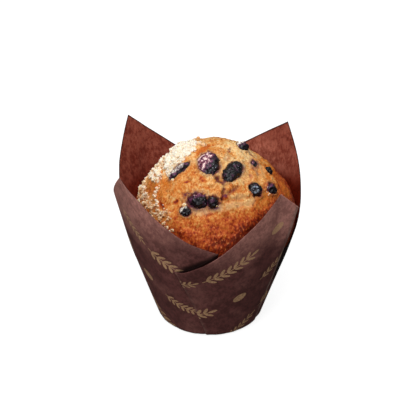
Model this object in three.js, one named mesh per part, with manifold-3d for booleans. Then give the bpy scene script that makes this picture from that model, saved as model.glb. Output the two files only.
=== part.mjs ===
// A berry muffin with streusel on one flank, baked in a tulip case: a square of
// paper pressed over a round former, so that its corners stand up as four petals
// and the spare paper between them lies in four flat pleats.
//
// Millimetres, +Z up. The origin is the centre of the flat underside, -Y is the
// front and azimuths turn counterclockwise from +X, in degrees.

import * as THREE from 'three';
import * as BufferGeometryUtils from 'three/addons/utils/BufferGeometryUtils.js';
import Module from 'manifold-3d';

const { degToRad, lerp, clamp, smoothstep } = THREE.MathUtils;
const FULL_TURN = 360;

const wasm = await Module();
wasm.setup();

// ---- Paper case ----

const BASE_RADIUS = 25;              // where the line of the wall meets the table
const FLARE = degToRad( 17.8 );      // the wall opens this far from the vertical
const BASE_BEND = 3;                 // radius of the bend round the foot
const PAPER = 0.25;                  // thickness of the sheet
const PITCH = 0.5;                   // from one layer of a pleat to the next
const TUCK_WIDTH = 8;                // over which a wall dips in to pass under its neighbour
const TUCK_CLEAR = 0.6;              // the dip is complete this far ahead of the neighbour's fold
const FOLD_SPREAD = 2;               // degrees from a pleat's foot to the foot of either fold
const FOLD_INNER_REACH = 0.1;        // how far the hollow side of a fold runs past its last column
const BASE_THICKNESS = 1.15;         // disc of pressed paper layers at the bottom
const DISC_FLARE = 0.3;              // the disc is this much wider at its top than at its bottom
const FOOT_LAP = 1.5;                // how far the wall's paper runs in over that disc

// A petal curls in towards the muffin above this slant height, growing with a power of the height.
const CURL_START = 38;
const CURL_SPAN = 50;
const CURL_POWER = 1.5;

const COLUMN_STEP = 9.5;             // degrees of azimuth from one column of a petal to the next
const MIDDLE_STEPS = 3;              // columns across the hidden layer of a pleat
const MIDDLE_SAG = 1.6;              // how far that layer's edge hangs below the edge in front of it
const WALL_ROWS = 7;
const BEND_ROWS = 2;
const DISC_SEGMENTS = 48;
const ROW_OFFSET = 1e-3;             // lifts the bend's last row clear of where the wall's formula starts

// Counterclockwise: front left, front right, back right and back left. tip is the corner of the
// sheet, as azimuth and slant height; curl is its bend towards the axis; sag is how far the
// sheet's two edges, clockwise and counterclockwise of the tip, hang below straight lines.
const PETALS = [
	{ tip: { azimuth: 214, slant: 92.6 }, curl: - 4.6, sag: [ 1.9, 3 ] },
	{ tip: { azimuth: 314, slant: 87.1 }, curl: - 7.1, sag: [ 4.2, - 0.4 ] },
	{ tip: { azimuth: 399.5, slant: 90.5 }, curl: - 4.1, sag: [ 9.5, 1.6 ] },
	{ tip: { azimuth: 499.4, slant: 92.6 }, curl: - 1, sag: [ 5, 3.1 ] }
];

// Pleat k lies between petal k and the next one. Its two folds run up from one foot to the
// edge of the sheet: outer is the fold that shows, and topPetal the petal that lies outside.
const PLEATS = [
	{ foot: 268.6, topPetal: 1, outer: { azimuth: 246.1, slant: 45.9 }, inner: { azimuth: 274.8, slant: 59.8 } },
	{ foot: 326, topPetal: 1, outer: { azimuth: 324.2, slant: 77.7 }, inner: { azimuth: 313.3, slant: 44.9 } },
	{ foot: 448.9, topPetal: 3, outer: { azimuth: 427, slant: 47.2 }, inner: { azimuth: 454.1, slant: 59.2 } },
	{ foot: 535.2, topPetal: 0, outer: { azimuth: 512.3, slant: 47.4 }, inner: { azimuth: 539.9, slant: 59 } }
];

// ---- Muffin ----

const MUFFIN_GAP = 0.6;              // clear space between the cake and the paper
const MUFFIN_FLOOR = 1.75;           // height of the cake's flat underside
const MUFFIN_DETAIL = 11;            // subdivisions of the icosahedron that becomes the cake
const FOLD_MARGIN = 6;               // degrees past a hidden fold that the cake still keeps clear of it
const EDGE_MARGIN = 2;               // the cake keeps its gap this far above the paper's edge
const RIM_OPENING = 0.3;             // how fast the cake may swell above the paper's edge
const BLEND = 1;                     // softness of the cake's change from dome to paper wall
const COLUMN_TOLERANCE = 1e-3;       // in the search for the paper's column at an azimuth
const SIDE_ANGLE = 50;               // the cake's side wall takes this much of the sphere it starts as

// The crown is a superellipse turned about an axis a little off the centre of the case.
const CROWN = { x: 2.3, y: - 1.2, radius: 38.9, height: 41.6, springing: 48.9, power: 1.81 };

const LUMP_COUNT = 14;
const LUMP_HEIGHT = 0.55;
const LUMP_LENGTHS = [ 16, 42 ];     // shortest and longest wave of the crown's uneven surface
const LUMP_SEED = 7;

const CRACK_RADIUS = 1;
const CRACK_LIFT = 0.35;             // of the groove's middle line, above the crust
const CRACK_SIDES = 5;
const CRACK_STEPS = 12;
// Splits in the crust, each a row of azimuth and rise on the crown.
const CRACKS = [
	[ [ 268, 61 ], [ 275, 57 ], [ 281, 54 ], [ 279, 50 ], [ 276, 45.5 ] ],
	[ [ 279, 49 ], [ 287, 49 ], [ 297, 51 ] ],
	[ [ 276, 44 ], [ 288, 43 ], [ 300, 43 ], [ 310, 41.5 ] ]
];

// ---- Berries ----

const BERRY_GAP = 0.3;
const BERRY_DETAIL = 2;
const SMALL_BERRY = 5.5;             // berries no longer than this have a coarser mesh
const BERRY_WRINKLE = 0.05;          // share of a berry's size
// at is azimuth and rise on the crown; size is length, width and depth; turn is the angle of the
// length from the horizontal, as seen from outside; sunk is the share of the depth under the crust.
const BERRIES = [
	{ at: [ 256, 69.5 ], size: [ 12.4, 9.2, 6.5 ], turn: - 65, sunk: 0.68 },
	{ at: [ 299, 62 ], size: [ 13, 7, 6.5 ], turn: 30, sunk: 0.62 },
	{ at: [ 215, 57.5 ], size: [ 12, 4.8, 5 ], turn: 74, sunk: 0.66 },
	{ at: [ 253, 43.5 ], size: [ 8.8, 6.4, 6 ], turn: 8, sunk: 0.62 },
	{ at: [ 268, 43.5 ], size: [ 5.2, 5, 5 ], turn: 0, sunk: 0.62 },
	{ at: [ 244.5, 36 ], size: [ 5, 4, 4 ], turn: 20, sunk: 0.6 },
	{ at: [ 314, 46 ], size: [ 6.2, 6.2, 6.2 ], turn: 0, sunk: 0.6 },
	{ at: [ 333, 41 ], size: [ 5.2, 4.8, 4.6 ], turn: 0, sunk: 0.58 },
	{ at: [ 353, 48 ], size: [ 4.4, 3.4, 3.6 ], turn: - 50, sunk: 0.58 },
	{ at: [ 18, 68 ], size: [ 6.6, 5.4, 5 ], turn: - 30, sunk: 0.52 },
	{ at: [ 343, 59 ], size: [ 3.2, 2.8, 2.8 ], turn: 0, sunk: 0.6 }
];

// ---- Streusel ----

// Each patch follows a path of azimuth, rise and half its height in degrees of rise; sizes are
// across its largest and smallest crumb, and spacing is the least distance between two crumbs,
// as a share of their sizes together.
const STREUSEL = [
	{
		count: 24,
		path: [ [ 148, 66, 12 ], [ 165, 68, 13 ], [ 184, 64, 11 ], [ 200, 60, 9 ], [ 212, 54, 4 ] ],
		sizes: [ 4.2, 2.5 ],
		spacing: 0.4
	},
	{
		count: 12,
		path: [ [ 154, 46, 7 ], [ 172, 45, 7 ], [ 186, 45, 6 ], [ 197, 46, 4 ] ],
		sizes: [ 3.8, 2.2 ],
		spacing: 0.42
	},
	{
		count: 42,
		path: [ [ 118, 52, 10 ], [ 140, 41, 11 ], [ 160, 31, 8 ], [ 178, 27, 6 ], [ 206, 26, 5 ], [ 230, 28, 5 ] ],
		sizes: [ 3.4, 1.8 ],
		spacing: 0.5
	}
];
const CRUMB_TURNS = [ 0.7549, 0.5698, 0.3819 ];  // steps of an even spread, as shares of a whole
const CRUMB_SINK = 0.08;             // of its size, from the crust down to a crumb's centre
const CRUMB_REACH = 0.6;             // of its size, from a crumb's centre to its farthest corner
const CRUMB_ROUGHNESS = 0.16;
const CRUMB_TRIES = 600;

const SIMPLIFY = 0.03;               // slivers thinner than this are merged away after cutting

const COLORS = { paper: 0x55403c, cake: 0xc98a45, berry: 0x2b2236 };

// ---- Shared tools ----

function makeRandom( seed ) {

	let state = seed;
	return () => {

		state = ( 1664525 * state + 1013904223 ) % 4294967296;
		return state / 4294967296;

	};

}

function near( azimuth, reference ) {

	return azimuth + FULL_TURN * Math.round( ( reference - azimuth ) / FULL_TURN );

}

function closedGeometry( positions, index ) {

	const geometry = new THREE.BufferGeometry();
	geometry.setAttribute( 'position', new THREE.Float32BufferAttribute( positions, 3 ) );
	geometry.setIndex( index );
	return geometry;

}

function welded( geometry ) {

	const bare = geometry.clone();
	bare.deleteAttribute( 'normal' );
	bare.deleteAttribute( 'uv' );
	return BufferGeometryUtils.mergeVertices( bare, 1e-4 );

}

function toManifold( geometry ) {

	return new wasm.Manifold( new wasm.Mesh( {
		numProp: 3,
		vertProperties: new Float32Array( geometry.attributes.position.array ),
		triVerts: new Uint32Array( geometry.index.array )
	} ) );

}

// The largest body of a solid, without the loose scraps that cutting may leave.
function toGeometry( solid ) {

	const bodies = solid.simplify( SIMPLIFY ).decompose();
	bodies.sort( ( a, b ) => b.volume() - a.volume() );
	const mesh = bodies[ 0 ].getMesh();
	return closedGeometry( mesh.vertProperties, Array.from( mesh.triVerts ) );

}

function moveVertices( geometry, move ) {

	const position = geometry.attributes.position;
	const point = new THREE.Vector3();
	for ( let i = 0; i < position.count; i ++ ) {

		point.fromBufferAttribute( position, i );
		move( point, i );
		position.setXYZ( i, point.x, point.y, point.z );

	}

	return geometry;

}

// ---- The paper's surface ----

const BEND_TANGENT = BASE_BEND * Math.tan( ( Math.PI / 2 - FLARE ) / 2 );

// A point of the case at an azimuth and slant height, moved in from the outer face by inset.
// Slant heights below zero lie on the flat base.
function paperPoint( azimuth, slant, curl, inset ) {

	let radius = BASE_RADIUS + slant;
	let height = 0;
	let tilt = Math.PI / 2;
	if ( slant > BEND_TANGENT ) {

		const growth = Math.max( ( slant - CURL_START ) / CURL_SPAN, 0 ) ** CURL_POWER;
		radius = BASE_RADIUS + slant * Math.sin( FLARE ) + curl * growth;
		height = slant * Math.cos( FLARE );
		tilt = FLARE;

	} else if ( slant > - BEND_TANGENT ) {

		const share = ( slant + BEND_TANGENT ) / ( 2 * BEND_TANGENT );
		const turn = share * ( Math.PI / 2 - FLARE );
		radius = BASE_RADIUS - BEND_TANGENT + BASE_BEND * Math.sin( turn );
		height = BASE_BEND * ( 1 - Math.cos( turn ) );
		tilt = Math.PI / 2 - turn;

	}

	radius -= inset * Math.cos( tilt );
	height += inset * Math.sin( tilt );
	const angle = degToRad( azimuth );
	return new THREE.Vector3( radius * Math.cos( angle ), radius * Math.sin( angle ), height );

}

// The folds of a pleat, each as the azimuths of its foot and end and its slant height.
for ( const [ k, pleat ] of PLEATS.entries() ) {

	const outward = pleat.topPetal === k ? 1 : - 1;
	pleat.outer = { foot: pleat.foot + outward * FOLD_SPREAD, reach: outward, ...pleat.outer };
	pleat.inner = { foot: pleat.foot - outward * FOLD_SPREAD, reach: - outward, ...pleat.inner };

}

function turned( fold, turn ) {

	return { ...fold, foot: fold.foot + turn, azimuth: fold.azimuth + turn };

}

// Each petal gets its clockwise and counterclockwise side: the fold that ends it there, and,
// where its neighbour lies outside, that neighbour and the fold it passes under.
for ( const [ i, petal ] of PETALS.entries() ) {

	petal.sides = [ - 1, 1 ].map( ( direction, n ) => {

		const k = direction < 0 ? ( i + PLEATS.length - 1 ) % PLEATS.length : i;
		const pleat = PLEATS[ k ];
		const turn = direction < 0 && i === 0 ? - FULL_TURN : 0;
		const onTop = pleat.topPetal === i;
		return {
			direction,
			sag: petal.sag[ n ],
			fold: turned( onTop ? pleat.outer : pleat.inner, turn ),
			coverFold: onTop ? null : turned( pleat.outer, turn ),
			coverPetal: onTop ? null : PETALS[ pleat.topPetal ]
		};

	} );
	petal.foot = ( petal.sides[ 0 ].fold.foot + petal.sides[ 1 ].fold.foot ) / 2;

}

function foldAzimuth( fold, slant ) {

	return lerp( fold.foot, fold.azimuth, Math.max( slant, 0 ) / fold.slant );

}

function ownCurl( petal, azimuth ) {

	const angle = near( azimuth, petal.tip.azimuth ) - petal.tip.azimuth;
	const side = petal.sides[ angle < 0 ? 0 : 1 ];
	const share = Math.min( angle / ( side.fold.azimuth - petal.tip.azimuth ), 1 );
	return petal.curl * ( 1 - share * share );

}

// A petal is pressed in at least as far as the petal that covers its edge.
function curlOf( petal, azimuth ) {

	const covers = petal.sides.map( ( side ) => side.coverPetal ).filter( ( cover ) => cover !== null );
	return Math.min( ...[ petal, ...covers ].map( ( sheet ) => ownCurl( sheet, azimuth ) ) );

}

// How far a petal dips in from the case's outer face, to pass under a neighbour's pleat.
function tuckOf( petal, azimuth, slant ) {

	let tuck = 0;
	for ( const side of petal.sides ) {

		if ( ! side.coverFold ) continue;
		const past = ( azimuth - foldAzimuth( side.coverFold, slant ) ) * side.direction;
		const radius = BASE_RADIUS + Math.max( slant, 0 ) * Math.sin( FLARE );
		tuck = Math.max( tuck, smoothstep( degToRad( past ) * radius, - TUCK_WIDTH, - TUCK_CLEAR ) );

	}

	return 2 * PITCH * tuck;

}

// A petal's column at the share u of the way from its tip to a side's fold: its top, and its
// azimuth at any slant height.
function petalColumn( petal, side, u ) {

	const top = lerp( petal.tip.slant, side.fold.slant, u ) - 4 * side.sag * u * ( 1 - u );
	const foot = lerp( petal.foot, side.fold.foot, u );
	const end = lerp( petal.tip.azimuth, side.fold.azimuth, u );
	return { top, azimuthAt: ( slant ) => lerp( foot, end, Math.max( slant, 0 ) / top ) };

}

// ---- The paper case's solid ----

function rowSlants( top ) {

	const slants = [ - BEND_TANGENT - FOOT_LAP ];
	for ( let row = 0; row <= BEND_ROWS; row ++ ) {

		const offset = row === BEND_ROWS ? ROW_OFFSET : 0;
		slants.push( lerp( - BEND_TANGENT, BEND_TANGENT, row / BEND_ROWS ) + offset );

	}

	for ( let row = 1; row <= WALL_ROWS; row ++ ) {

		slants.push( lerp( BEND_TANGENT, top, row / WALL_ROWS ) );

	}

	return slants;

}

// A column of the band is a list of pairs: the sheet's printed face and its inner face.
function bandOfPetal( petal ) {

	const columns = [];
	const addColumn = ( side, u ) => {

		const column = petalColumn( petal, side, u );
		columns.push( rowSlants( column.top ).map( ( slant ) => {

			const azimuth = column.azimuthAt( slant );
			const curl = curlOf( petal, azimuth );
			const tuck = tuckOf( petal, azimuth, slant );
			return [ paperPoint( azimuth, slant, curl, tuck ), paperPoint( azimuth, slant, curl, tuck + PAPER ) ];

		} ) );

	};

	const steps = petal.sides.map( ( side ) =>
		Math.ceil( Math.abs( side.fold.azimuth - petal.tip.azimuth ) / COLUMN_STEP ) );
	for ( let n = steps[ 0 ]; n > 0; n -- ) addColumn( petal.sides[ 0 ], n / steps[ 0 ] );
	for ( let n = 0; n <= steps[ 1 ]; n ++ ) addColumn( petal.sides[ 1 ], n / steps[ 1 ] );
	return columns;

}

// The paper turns back on itself at a fold. hollow is the face on the inside of that bend.
function bandOfFold( fold, topPetal, hollow, inset ) {

	return [ rowSlants( fold.slant ).map( ( slant ) => {

		const radius = BASE_RADIUS + Math.max( slant, 0 ) * Math.sin( FLARE );
		const pair = [ 0, 1 ].map( ( face ) => {

			const reach = FOLD_INNER_REACH + ( face === hollow ? 0 : PAPER );
			const azimuth = foldAzimuth( fold, slant ) + THREE.MathUtils.radToDeg( reach / radius ) * fold.reach;
			return paperPoint( azimuth, slant, ownCurl( topPetal, azimuth ), inset );

		} );
		return pair;

	} ) ];

}

// The middle layer of a pleat has its printed face turned in.
function bandOfMiddle( from, to, topPetal ) {

	const columns = [];
	for ( let n = 0; n <= MIDDLE_STEPS; n ++ ) {

		const share = n / MIDDLE_STEPS;
		const top = lerp( from.slant, to.slant, share ) - 4 * MIDDLE_SAG * share * ( 1 - share );
		columns.push( rowSlants( top ).map( ( slant ) => {

			const along = Math.max( slant, 0 ) / top;
			const [ foot, end ] = [ lerp( from.foot, to.foot, share ), lerp( from.azimuth, to.azimuth, share ) ];
			const azimuth = lerp( foot, end, along );
			const curl = ownCurl( topPetal, azimuth );
			return [ paperPoint( azimuth, slant, curl, PITCH + PAPER ), paperPoint( azimuth, slant, curl, PITCH ) ];

		} ) );

	}

	return columns;

}

function bandOfPleat( k ) {

	const { outer, inner, topPetal } = PLEATS[ k ];
	const top = PETALS[ topPetal ];
	const outerFold = bandOfFold( outer, top, 1, ( PITCH + PAPER ) / 2 );
	const innerFold = bandOfFold( inner, top, 0, ( 3 * PITCH + PAPER ) / 2 );
	return topPetal === k
		? [ ...outerFold, ...bandOfMiddle( outer, inner, top ), ...innerFold ]
		: [ ...innerFold, ...bandOfMiddle( inner, outer, top ), ...outerFold ];

}

// Closes a ring of columns into a solid, both faces split into triangles alike.
function bandGeometry( columns ) {

	const rows = columns[ 0 ].length;
	const points = columns.flat( 2 );
	const positions = points.flatMap( ( point ) => point.toArray() );
	const at = ( column, row, face ) => ( ( column % columns.length ) * rows + row ) * 2 + face;
	const index = [];
	const addQuad = ( a, b, c, d ) => index.push( a, b, c, a, c, d );
	for ( let c = 0; c < columns.length; c ++ ) {

		for ( let r = 0; r < rows - 1; r ++ ) {

			addQuad( at( c, r, 0 ), at( c + 1, r, 0 ), at( c + 1, r + 1, 0 ), at( c, r + 1, 0 ) );
			const corners = [ at( c, r, 1 ), at( c + 1, r, 1 ), at( c + 1, r + 1, 1 ), at( c, r + 1, 1 ) ];
			index.push( corners[ 0 ], corners[ 2 ], corners[ 1 ], corners[ 0 ], corners[ 3 ], corners[ 2 ] );

		}

		addQuad( at( c, 0, 1 ), at( c + 1, 0, 1 ), at( c + 1, 0, 0 ), at( c, 0, 0 ) );
		addQuad( at( c, rows - 1, 0 ), at( c + 1, rows - 1, 0 ), at( c + 1, rows - 1, 1 ), at( c, rows - 1, 1 ) );

	}

	return closedGeometry( positions, index );

}

function buildPaperCase() {

	const columns = PETALS.flatMap( ( petal, k ) => [ ...bandOfPetal( petal ), ...bandOfPleat( k ) ] );
	const discRadius = BASE_RADIUS - BEND_TANGENT;
	const disc = new THREE.LatheGeometry( [
		new THREE.Vector2( 0, 0 ),
		new THREE.Vector2( discRadius, 0 ),
		new THREE.Vector2( discRadius + DISC_FLARE, BASE_THICKNESS ),
		new THREE.Vector2( 0, BASE_THICKNESS )
	], DISC_SEGMENTS ).rotateX( Math.PI / 2 );
	return toGeometry( toManifold( bandGeometry( columns ) ).add( toManifold( welded( disc ) ) ) );

}

// ---- The cake ----

// The side and share u of a petal's column through an azimuth at a slant height, if any.
function columnThrough( petal, azimuth, slant ) {

	const middle = petalColumn( petal, petal.sides[ 0 ], 0 ).azimuthAt( slant );
	const side = petal.sides[ azimuth < middle ? 0 : 1 ];
	const beyond = ( u ) => ( azimuth - petalColumn( petal, side, u ).azimuthAt( slant ) ) * side.direction;
	if ( beyond( 1 ) > 0 ) return beyond( 1 ) < FOLD_MARGIN ? { side, u: 1 } : null;
	let low = 0;
	let high = 1;
	while ( high - low > COLUMN_TOLERANCE ) {

		const u = ( low + high ) / 2;
		if ( beyond( u ) <= 0 ) high = u;
		else low = u;

	}

	return { side, u: high };

}

// The largest distance from the axis that the cake may reach: the paper's inner face less the
// gap, opening out above the paper's edge.
function roomInside( angle, height ) {

	const slant = height / Math.cos( FLARE );
	let room = Infinity;
	for ( const petal of PETALS ) {

		const azimuth = near( angle, petal.tip.azimuth );
		const found = columnThrough( petal, azimuth, slant );
		if ( ! found ) continue;
		const above = Math.max( slant - petalColumn( petal, found.side, found.u ).top - EDGE_MARGIN, 0 );
		const inset = tuckOf( petal, azimuth, slant ) + PAPER + MUFFIN_GAP;
		const point = paperPoint( azimuth, slant, curlOf( petal, azimuth ), inset );
		room = Math.min( room, Math.hypot( point.x, point.y ) + above * RIM_OPENING );

	}

	return room;

}

function makeLumps() {

	const random = makeRandom( LUMP_SEED );
	const waves = [];
	for ( let n = 0; n < LUMP_COUNT; n ++ ) {

		const heading = 2 * Math.PI * random();
		const climb = 2 * random() - 1;
		const across = Math.sqrt( 1 - climb * climb );
		const length = lerp( ...LUMP_LENGTHS, random() );
		const phase = 2 * Math.PI * random();
		const step = new THREE.Vector3( Math.cos( heading ) * across, Math.sin( heading ) * across, climb )
			.multiplyScalar( 2 * Math.PI / length );
		waves.push( { step, phase } );

	}

	return ( point ) => waves.reduce( ( sum, wave ) => sum + Math.sin( wave.step.dot( point ) + wave.phase ), 0 )
		* LUMP_HEIGHT / Math.sqrt( LUMP_COUNT );

}

const lumpsAt = makeLumps();

function crownNormal( azimuth, rise ) {

	const angle = degToRad( azimuth );
	const tilt = degToRad( rise );
	const exponent = 2 - 2 / CROWN.power;
	const out = Math.cos( tilt ) ** exponent / CROWN.radius;
	const up = Math.sin( tilt ) ** exponent / CROWN.height;
	return new THREE.Vector3( out * Math.cos( angle ), out * Math.sin( angle ), up ).normalize();

}

// A point on the crown's crust at an azimuth and rise about the crown's own axis, in degrees.
function crownPoint( azimuth, rise ) {

	const angle = degToRad( azimuth );
	const tilt = degToRad( clamp( rise, 0, 90 ) );
	const exponent = 2 / CROWN.power;
	const radius = CROWN.radius * Math.max( Math.cos( tilt ), 0 ) ** exponent;
	const point = new THREE.Vector3(
		CROWN.x + radius * Math.cos( angle ),
		CROWN.y + radius * Math.sin( angle ),
		CROWN.springing + CROWN.height * Math.sin( tilt ) ** exponent
	);
	return point.addScaledVector( crownNormal( azimuth, clamp( rise, 0, 90 ) ), lumpsAt( point ) );

}

function softMin( a, b ) {

	if ( ! Number.isFinite( b ) ) return a;
	const lowest = Math.min( a, b );
	return lowest - BLEND * Math.log( Math.exp( ( lowest - a ) / BLEND ) + Math.exp( ( lowest - b ) / BLEND ) );

}

// Keeps a point of the cake inside the paper.
function fitInside( point ) {

	const azimuth = THREE.MathUtils.radToDeg( Math.atan2( point.y, point.x ) );
	const reach = Math.hypot( point.x, point.y );
	const kept = softMin( reach, roomInside( azimuth, point.z ) );
	if ( reach > 0 ) point.multiply( new THREE.Vector3( kept / reach, kept / reach, 1 ) );
	return point;

}

// Wraps a unit sphere onto the cake: crown above, side wall and flat underside below.
function cakePoint( unit ) {

	const azimuth = THREE.MathUtils.radToDeg( Math.atan2( unit.y, unit.x ) );
	const rise = THREE.MathUtils.radToDeg( Math.asin( clamp( unit.z, - 1, 1 ) ) );
	if ( rise >= 0 ) return fitInside( crownPoint( azimuth, rise ) );
	const point = crownPoint( azimuth, 0 );
	if ( rise > - SIDE_ANGLE ) {

		point.z = lerp( point.z, MUFFIN_FLOOR, - rise / SIDE_ANGLE );
		return fitInside( point );

	}

	point.z = MUFFIN_FLOOR;
	fitInside( point );
	const inward = ( 90 + rise ) / ( 90 - SIDE_ANGLE );
	return point.multiply( new THREE.Vector3( inward, inward, 1 ) );

}

function buildCake() {

	const geometry = welded( new THREE.IcosahedronGeometry( 1, MUFFIN_DETAIL ) );
	return moveVertices( geometry, ( point ) => point.copy( cakePoint( point.clone() ) ) );

}

// ---- Berries, cracks and crumbs ----

// A frame on the crust: x along the horizontal, y up the slope and z out, turned about z.
function crustFrame( azimuth, rise, turn ) {

	const out = crownNormal( azimuth, rise );
	const angle = degToRad( azimuth );
	const along = new THREE.Vector3( - Math.sin( angle ), Math.cos( angle ), 0 );
	const up = new THREE.Vector3().crossVectors( out, along );
	const frame = new THREE.Matrix4().makeBasis( along, up, out );
	return frame.multiply( new THREE.Matrix4().makeRotationZ( degToRad( turn ) ) );

}

// The wrinkled form of a berry, swollen by an even margin all round.
function berryGeometry( size, seed, margin ) {

	const random = makeRandom( seed + 1 );
	const phases = [ random(), random(), random() ].map( ( share ) => 2 * Math.PI * share );
	const detail = size[ 0 ] > SMALL_BERRY ? BERRY_DETAIL : BERRY_DETAIL - 1;
	const geometry = welded( new THREE.IcosahedronGeometry( 1, detail ) );
	return moveVertices( geometry, ( point ) => {

		const wrinkle = Math.sin( 4 * point.x + phases[ 0 ] ) * Math.sin( 5 * point.y + phases[ 1 ] )
			* Math.sin( 4 * point.z + phases[ 2 ] );
		const scale = 1 + BERRY_WRINKLE * wrinkle;
		point.set( ...size.map( ( whole, axis ) =>
			point.getComponent( axis ) * ( whole / 2 * scale + margin ) ) );

	} );

}

function placeBerry( { at: [ azimuth, rise ], size, turn, sunk } ) {

	const frame = crustFrame( azimuth, rise, turn );
	const lift = ( 0.5 - sunk ) * size[ 2 ];
	const centre = crownPoint( azimuth, rise ).addScaledVector( crownNormal( azimuth, rise ), lift );
	return frame.setPosition( centre );

}

function buildCrack( points ) {

	const curve = new THREE.CatmullRomCurve3( points.map( ( [ azimuth, rise ] ) =>
		crownPoint( azimuth, rise ).addScaledVector( crownNormal( azimuth, rise ), CRACK_LIFT ) ) );
	const corners = Array.from( { length: CRACK_SIDES }, ( _, n ) => {

		const angle = 2 * Math.PI * n / CRACK_SIDES;
		return new THREE.Vector2( Math.cos( angle ), Math.sin( angle ) ).multiplyScalar( CRACK_RADIUS );

	} );
	const section = new THREE.Shape( corners );
	return new THREE.ExtrudeGeometry( section, { steps: CRACK_STEPS, extrudePath: curve } );

}

// Azimuth, rise and half height at a share of the way along a patch of streusel.
function alongPatch( path, share ) {

	const place = share * ( path.length - 1 );
	const n = Math.min( Math.floor( place ), path.length - 2 );
	return path[ n ].map( ( value, axis ) => lerp( value, path[ n + 1 ][ axis ], place - n ) );

}

// Crumbs, the largest first, each clear of the berries, the paper and most of the other crumbs.
function placeCrumbs() {

	const berries = BERRIES.map( ( berry ) => ( {
		centre: crownPoint( ...berry.at ),
		reach: berry.size[ 0 ] / 2
	} ) );
	const crumbs = [];
	for ( const { count, path, sizes, spacing } of STREUSEL ) {

		let placed = 0;
		for ( let n = 1; n <= CRUMB_TRIES && placed < count; n ++ ) {

			const [ along, across, around ] = CRUMB_TURNS.map( ( step ) => n * step % 1 );
			const size = lerp( ...sizes, Math.sqrt( placed / count ) );
			const [ azimuth, middle, half ] = alongPatch( path, along );
			const rise = middle + half * ( 2 * across - 1 );
			const centre = fitInside( crownPoint( azimuth, rise ) );
			const room = roomInside( THREE.MathUtils.radToDeg( Math.atan2( centre.y, centre.x ) ), centre.z );
			const crowded = crumbs.some( ( other ) =>
				other.centre.distanceTo( centre ) < ( other.size + size ) * spacing );
			const onBerry = berries.some( ( berry ) =>
				berry.centre.distanceTo( centre ) < berry.reach + size * CRUMB_REACH + BERRY_GAP );
			const onPaper = Math.hypot( centre.x, centre.y ) + size / 2 > room;
			if ( crowded || onBerry || onPaper ) continue;
			crumbs.push( { azimuth, rise, turn: FULL_TURN * around, size, centre } );
			placed ++;

		}

	}

	return crumbs;

}

function buildCrumb( { azimuth, rise, turn, size, centre }, seed ) {

	const random = makeRandom( seed + 1 );
	const geometry = welded( new THREE.IcosahedronGeometry( size / 2, 0 ) );
	moveVertices( geometry, ( point ) => point.multiplyScalar( 1 + CRUMB_ROUGHNESS * ( 2 * random() - 1 ) ) );
	const sunk = centre.clone().addScaledVector( crownNormal( azimuth, rise ), - size * CRUMB_SINK );
	return geometry.applyMatrix4( crustFrame( azimuth, rise, turn ).setPosition( sunk ) );

}

function buildMuffin() {

	const crumbs = placeCrumbs().map( ( crumb, n ) => toManifold( buildCrumb( crumb, n ) ) );
	const whole = wasm.Manifold.union( [ toManifold( buildCake() ), ...crumbs ] );
	const pockets = BERRIES.map( ( berry, n ) =>
		toManifold( berryGeometry( berry.size, n, BERRY_GAP ).applyMatrix4( placeBerry( berry ) ) ) );
	const cracks = CRACKS.map( ( points ) => toManifold( welded( buildCrack( points ) ) ) );
	return toGeometry( wasm.Manifold.difference( [ whole, ...pockets, ...cracks ] ) );

}

// ---- The whole ----

function makeMesh( name, geometry, color, roughness ) {

	geometry.computeVertexNormals();
	const material = new THREE.MeshStandardMaterial( { color, roughness, metalness: 0 } );
	const mesh = new THREE.Mesh( geometry, material );
	mesh.name = name;
	return mesh;

}

const group = new THREE.Group();
group.add( makeMesh( 'paper_case', buildPaperCase(), COLORS.paper, 0.8 ) );
group.add( makeMesh( 'muffin', buildMuffin(), COLORS.cake, 0.75 ) );

for ( const [ n, berry ] of BERRIES.entries() ) {

	const name = `berry_${ String( n + 1 ).padStart( 2, '0' ) }`;
	const mesh = makeMesh( name, berryGeometry( berry.size, n, 0 ), COLORS.berry, 0.35 );
	mesh.applyMatrix4( placeBerry( berry ) );
	group.add( mesh );

}

export default group;
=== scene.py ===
from itertools import combinations

import bpy
import numpy as np
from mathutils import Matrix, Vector


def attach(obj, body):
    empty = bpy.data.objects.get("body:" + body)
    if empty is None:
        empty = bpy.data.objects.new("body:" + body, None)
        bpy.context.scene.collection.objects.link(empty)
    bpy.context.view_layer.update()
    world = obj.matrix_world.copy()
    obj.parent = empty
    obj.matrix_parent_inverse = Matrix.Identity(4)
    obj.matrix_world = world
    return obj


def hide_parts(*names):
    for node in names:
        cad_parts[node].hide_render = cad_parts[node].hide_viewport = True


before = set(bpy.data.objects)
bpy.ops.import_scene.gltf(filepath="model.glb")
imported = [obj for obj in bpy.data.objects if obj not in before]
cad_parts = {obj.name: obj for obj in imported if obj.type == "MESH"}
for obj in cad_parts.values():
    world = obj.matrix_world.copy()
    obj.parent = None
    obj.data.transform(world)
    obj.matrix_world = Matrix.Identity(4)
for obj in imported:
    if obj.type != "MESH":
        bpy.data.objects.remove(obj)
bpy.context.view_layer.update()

MM = 0.001

# ---- The paper case, as in the CAD source ----

BASE_RADIUS = 25.0
FLARE = np.radians(17.8)
BASE_BEND = 3.0
CURL_START, CURL_SPAN, CURL_POWER = 38.0, 50.0, 1.5
TUCK_WIDTH = 8.0
TUCK_CLEAR = 0.6
FOLD_SPREAD = 2.0
MIDDLE_SAG = 1.6

# Counterclockwise from the front left: azimuth and slant height of the tip, curl, and the sag
# of the sheet's edge clockwise and counterclockwise of it.
PETALS = (
    {"tip": (214.0, 92.6), "curl": -4.6, "sag": (1.9, 3.0)},
    {"tip": (314.0, 87.1), "curl": -7.1, "sag": (4.2, -0.4)},
    {"tip": (399.5, 90.5), "curl": -4.1, "sag": (9.5, 1.6)},
    {"tip": (499.4, 92.6), "curl": -1.0, "sag": (5.0, 3.1)},
)
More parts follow.
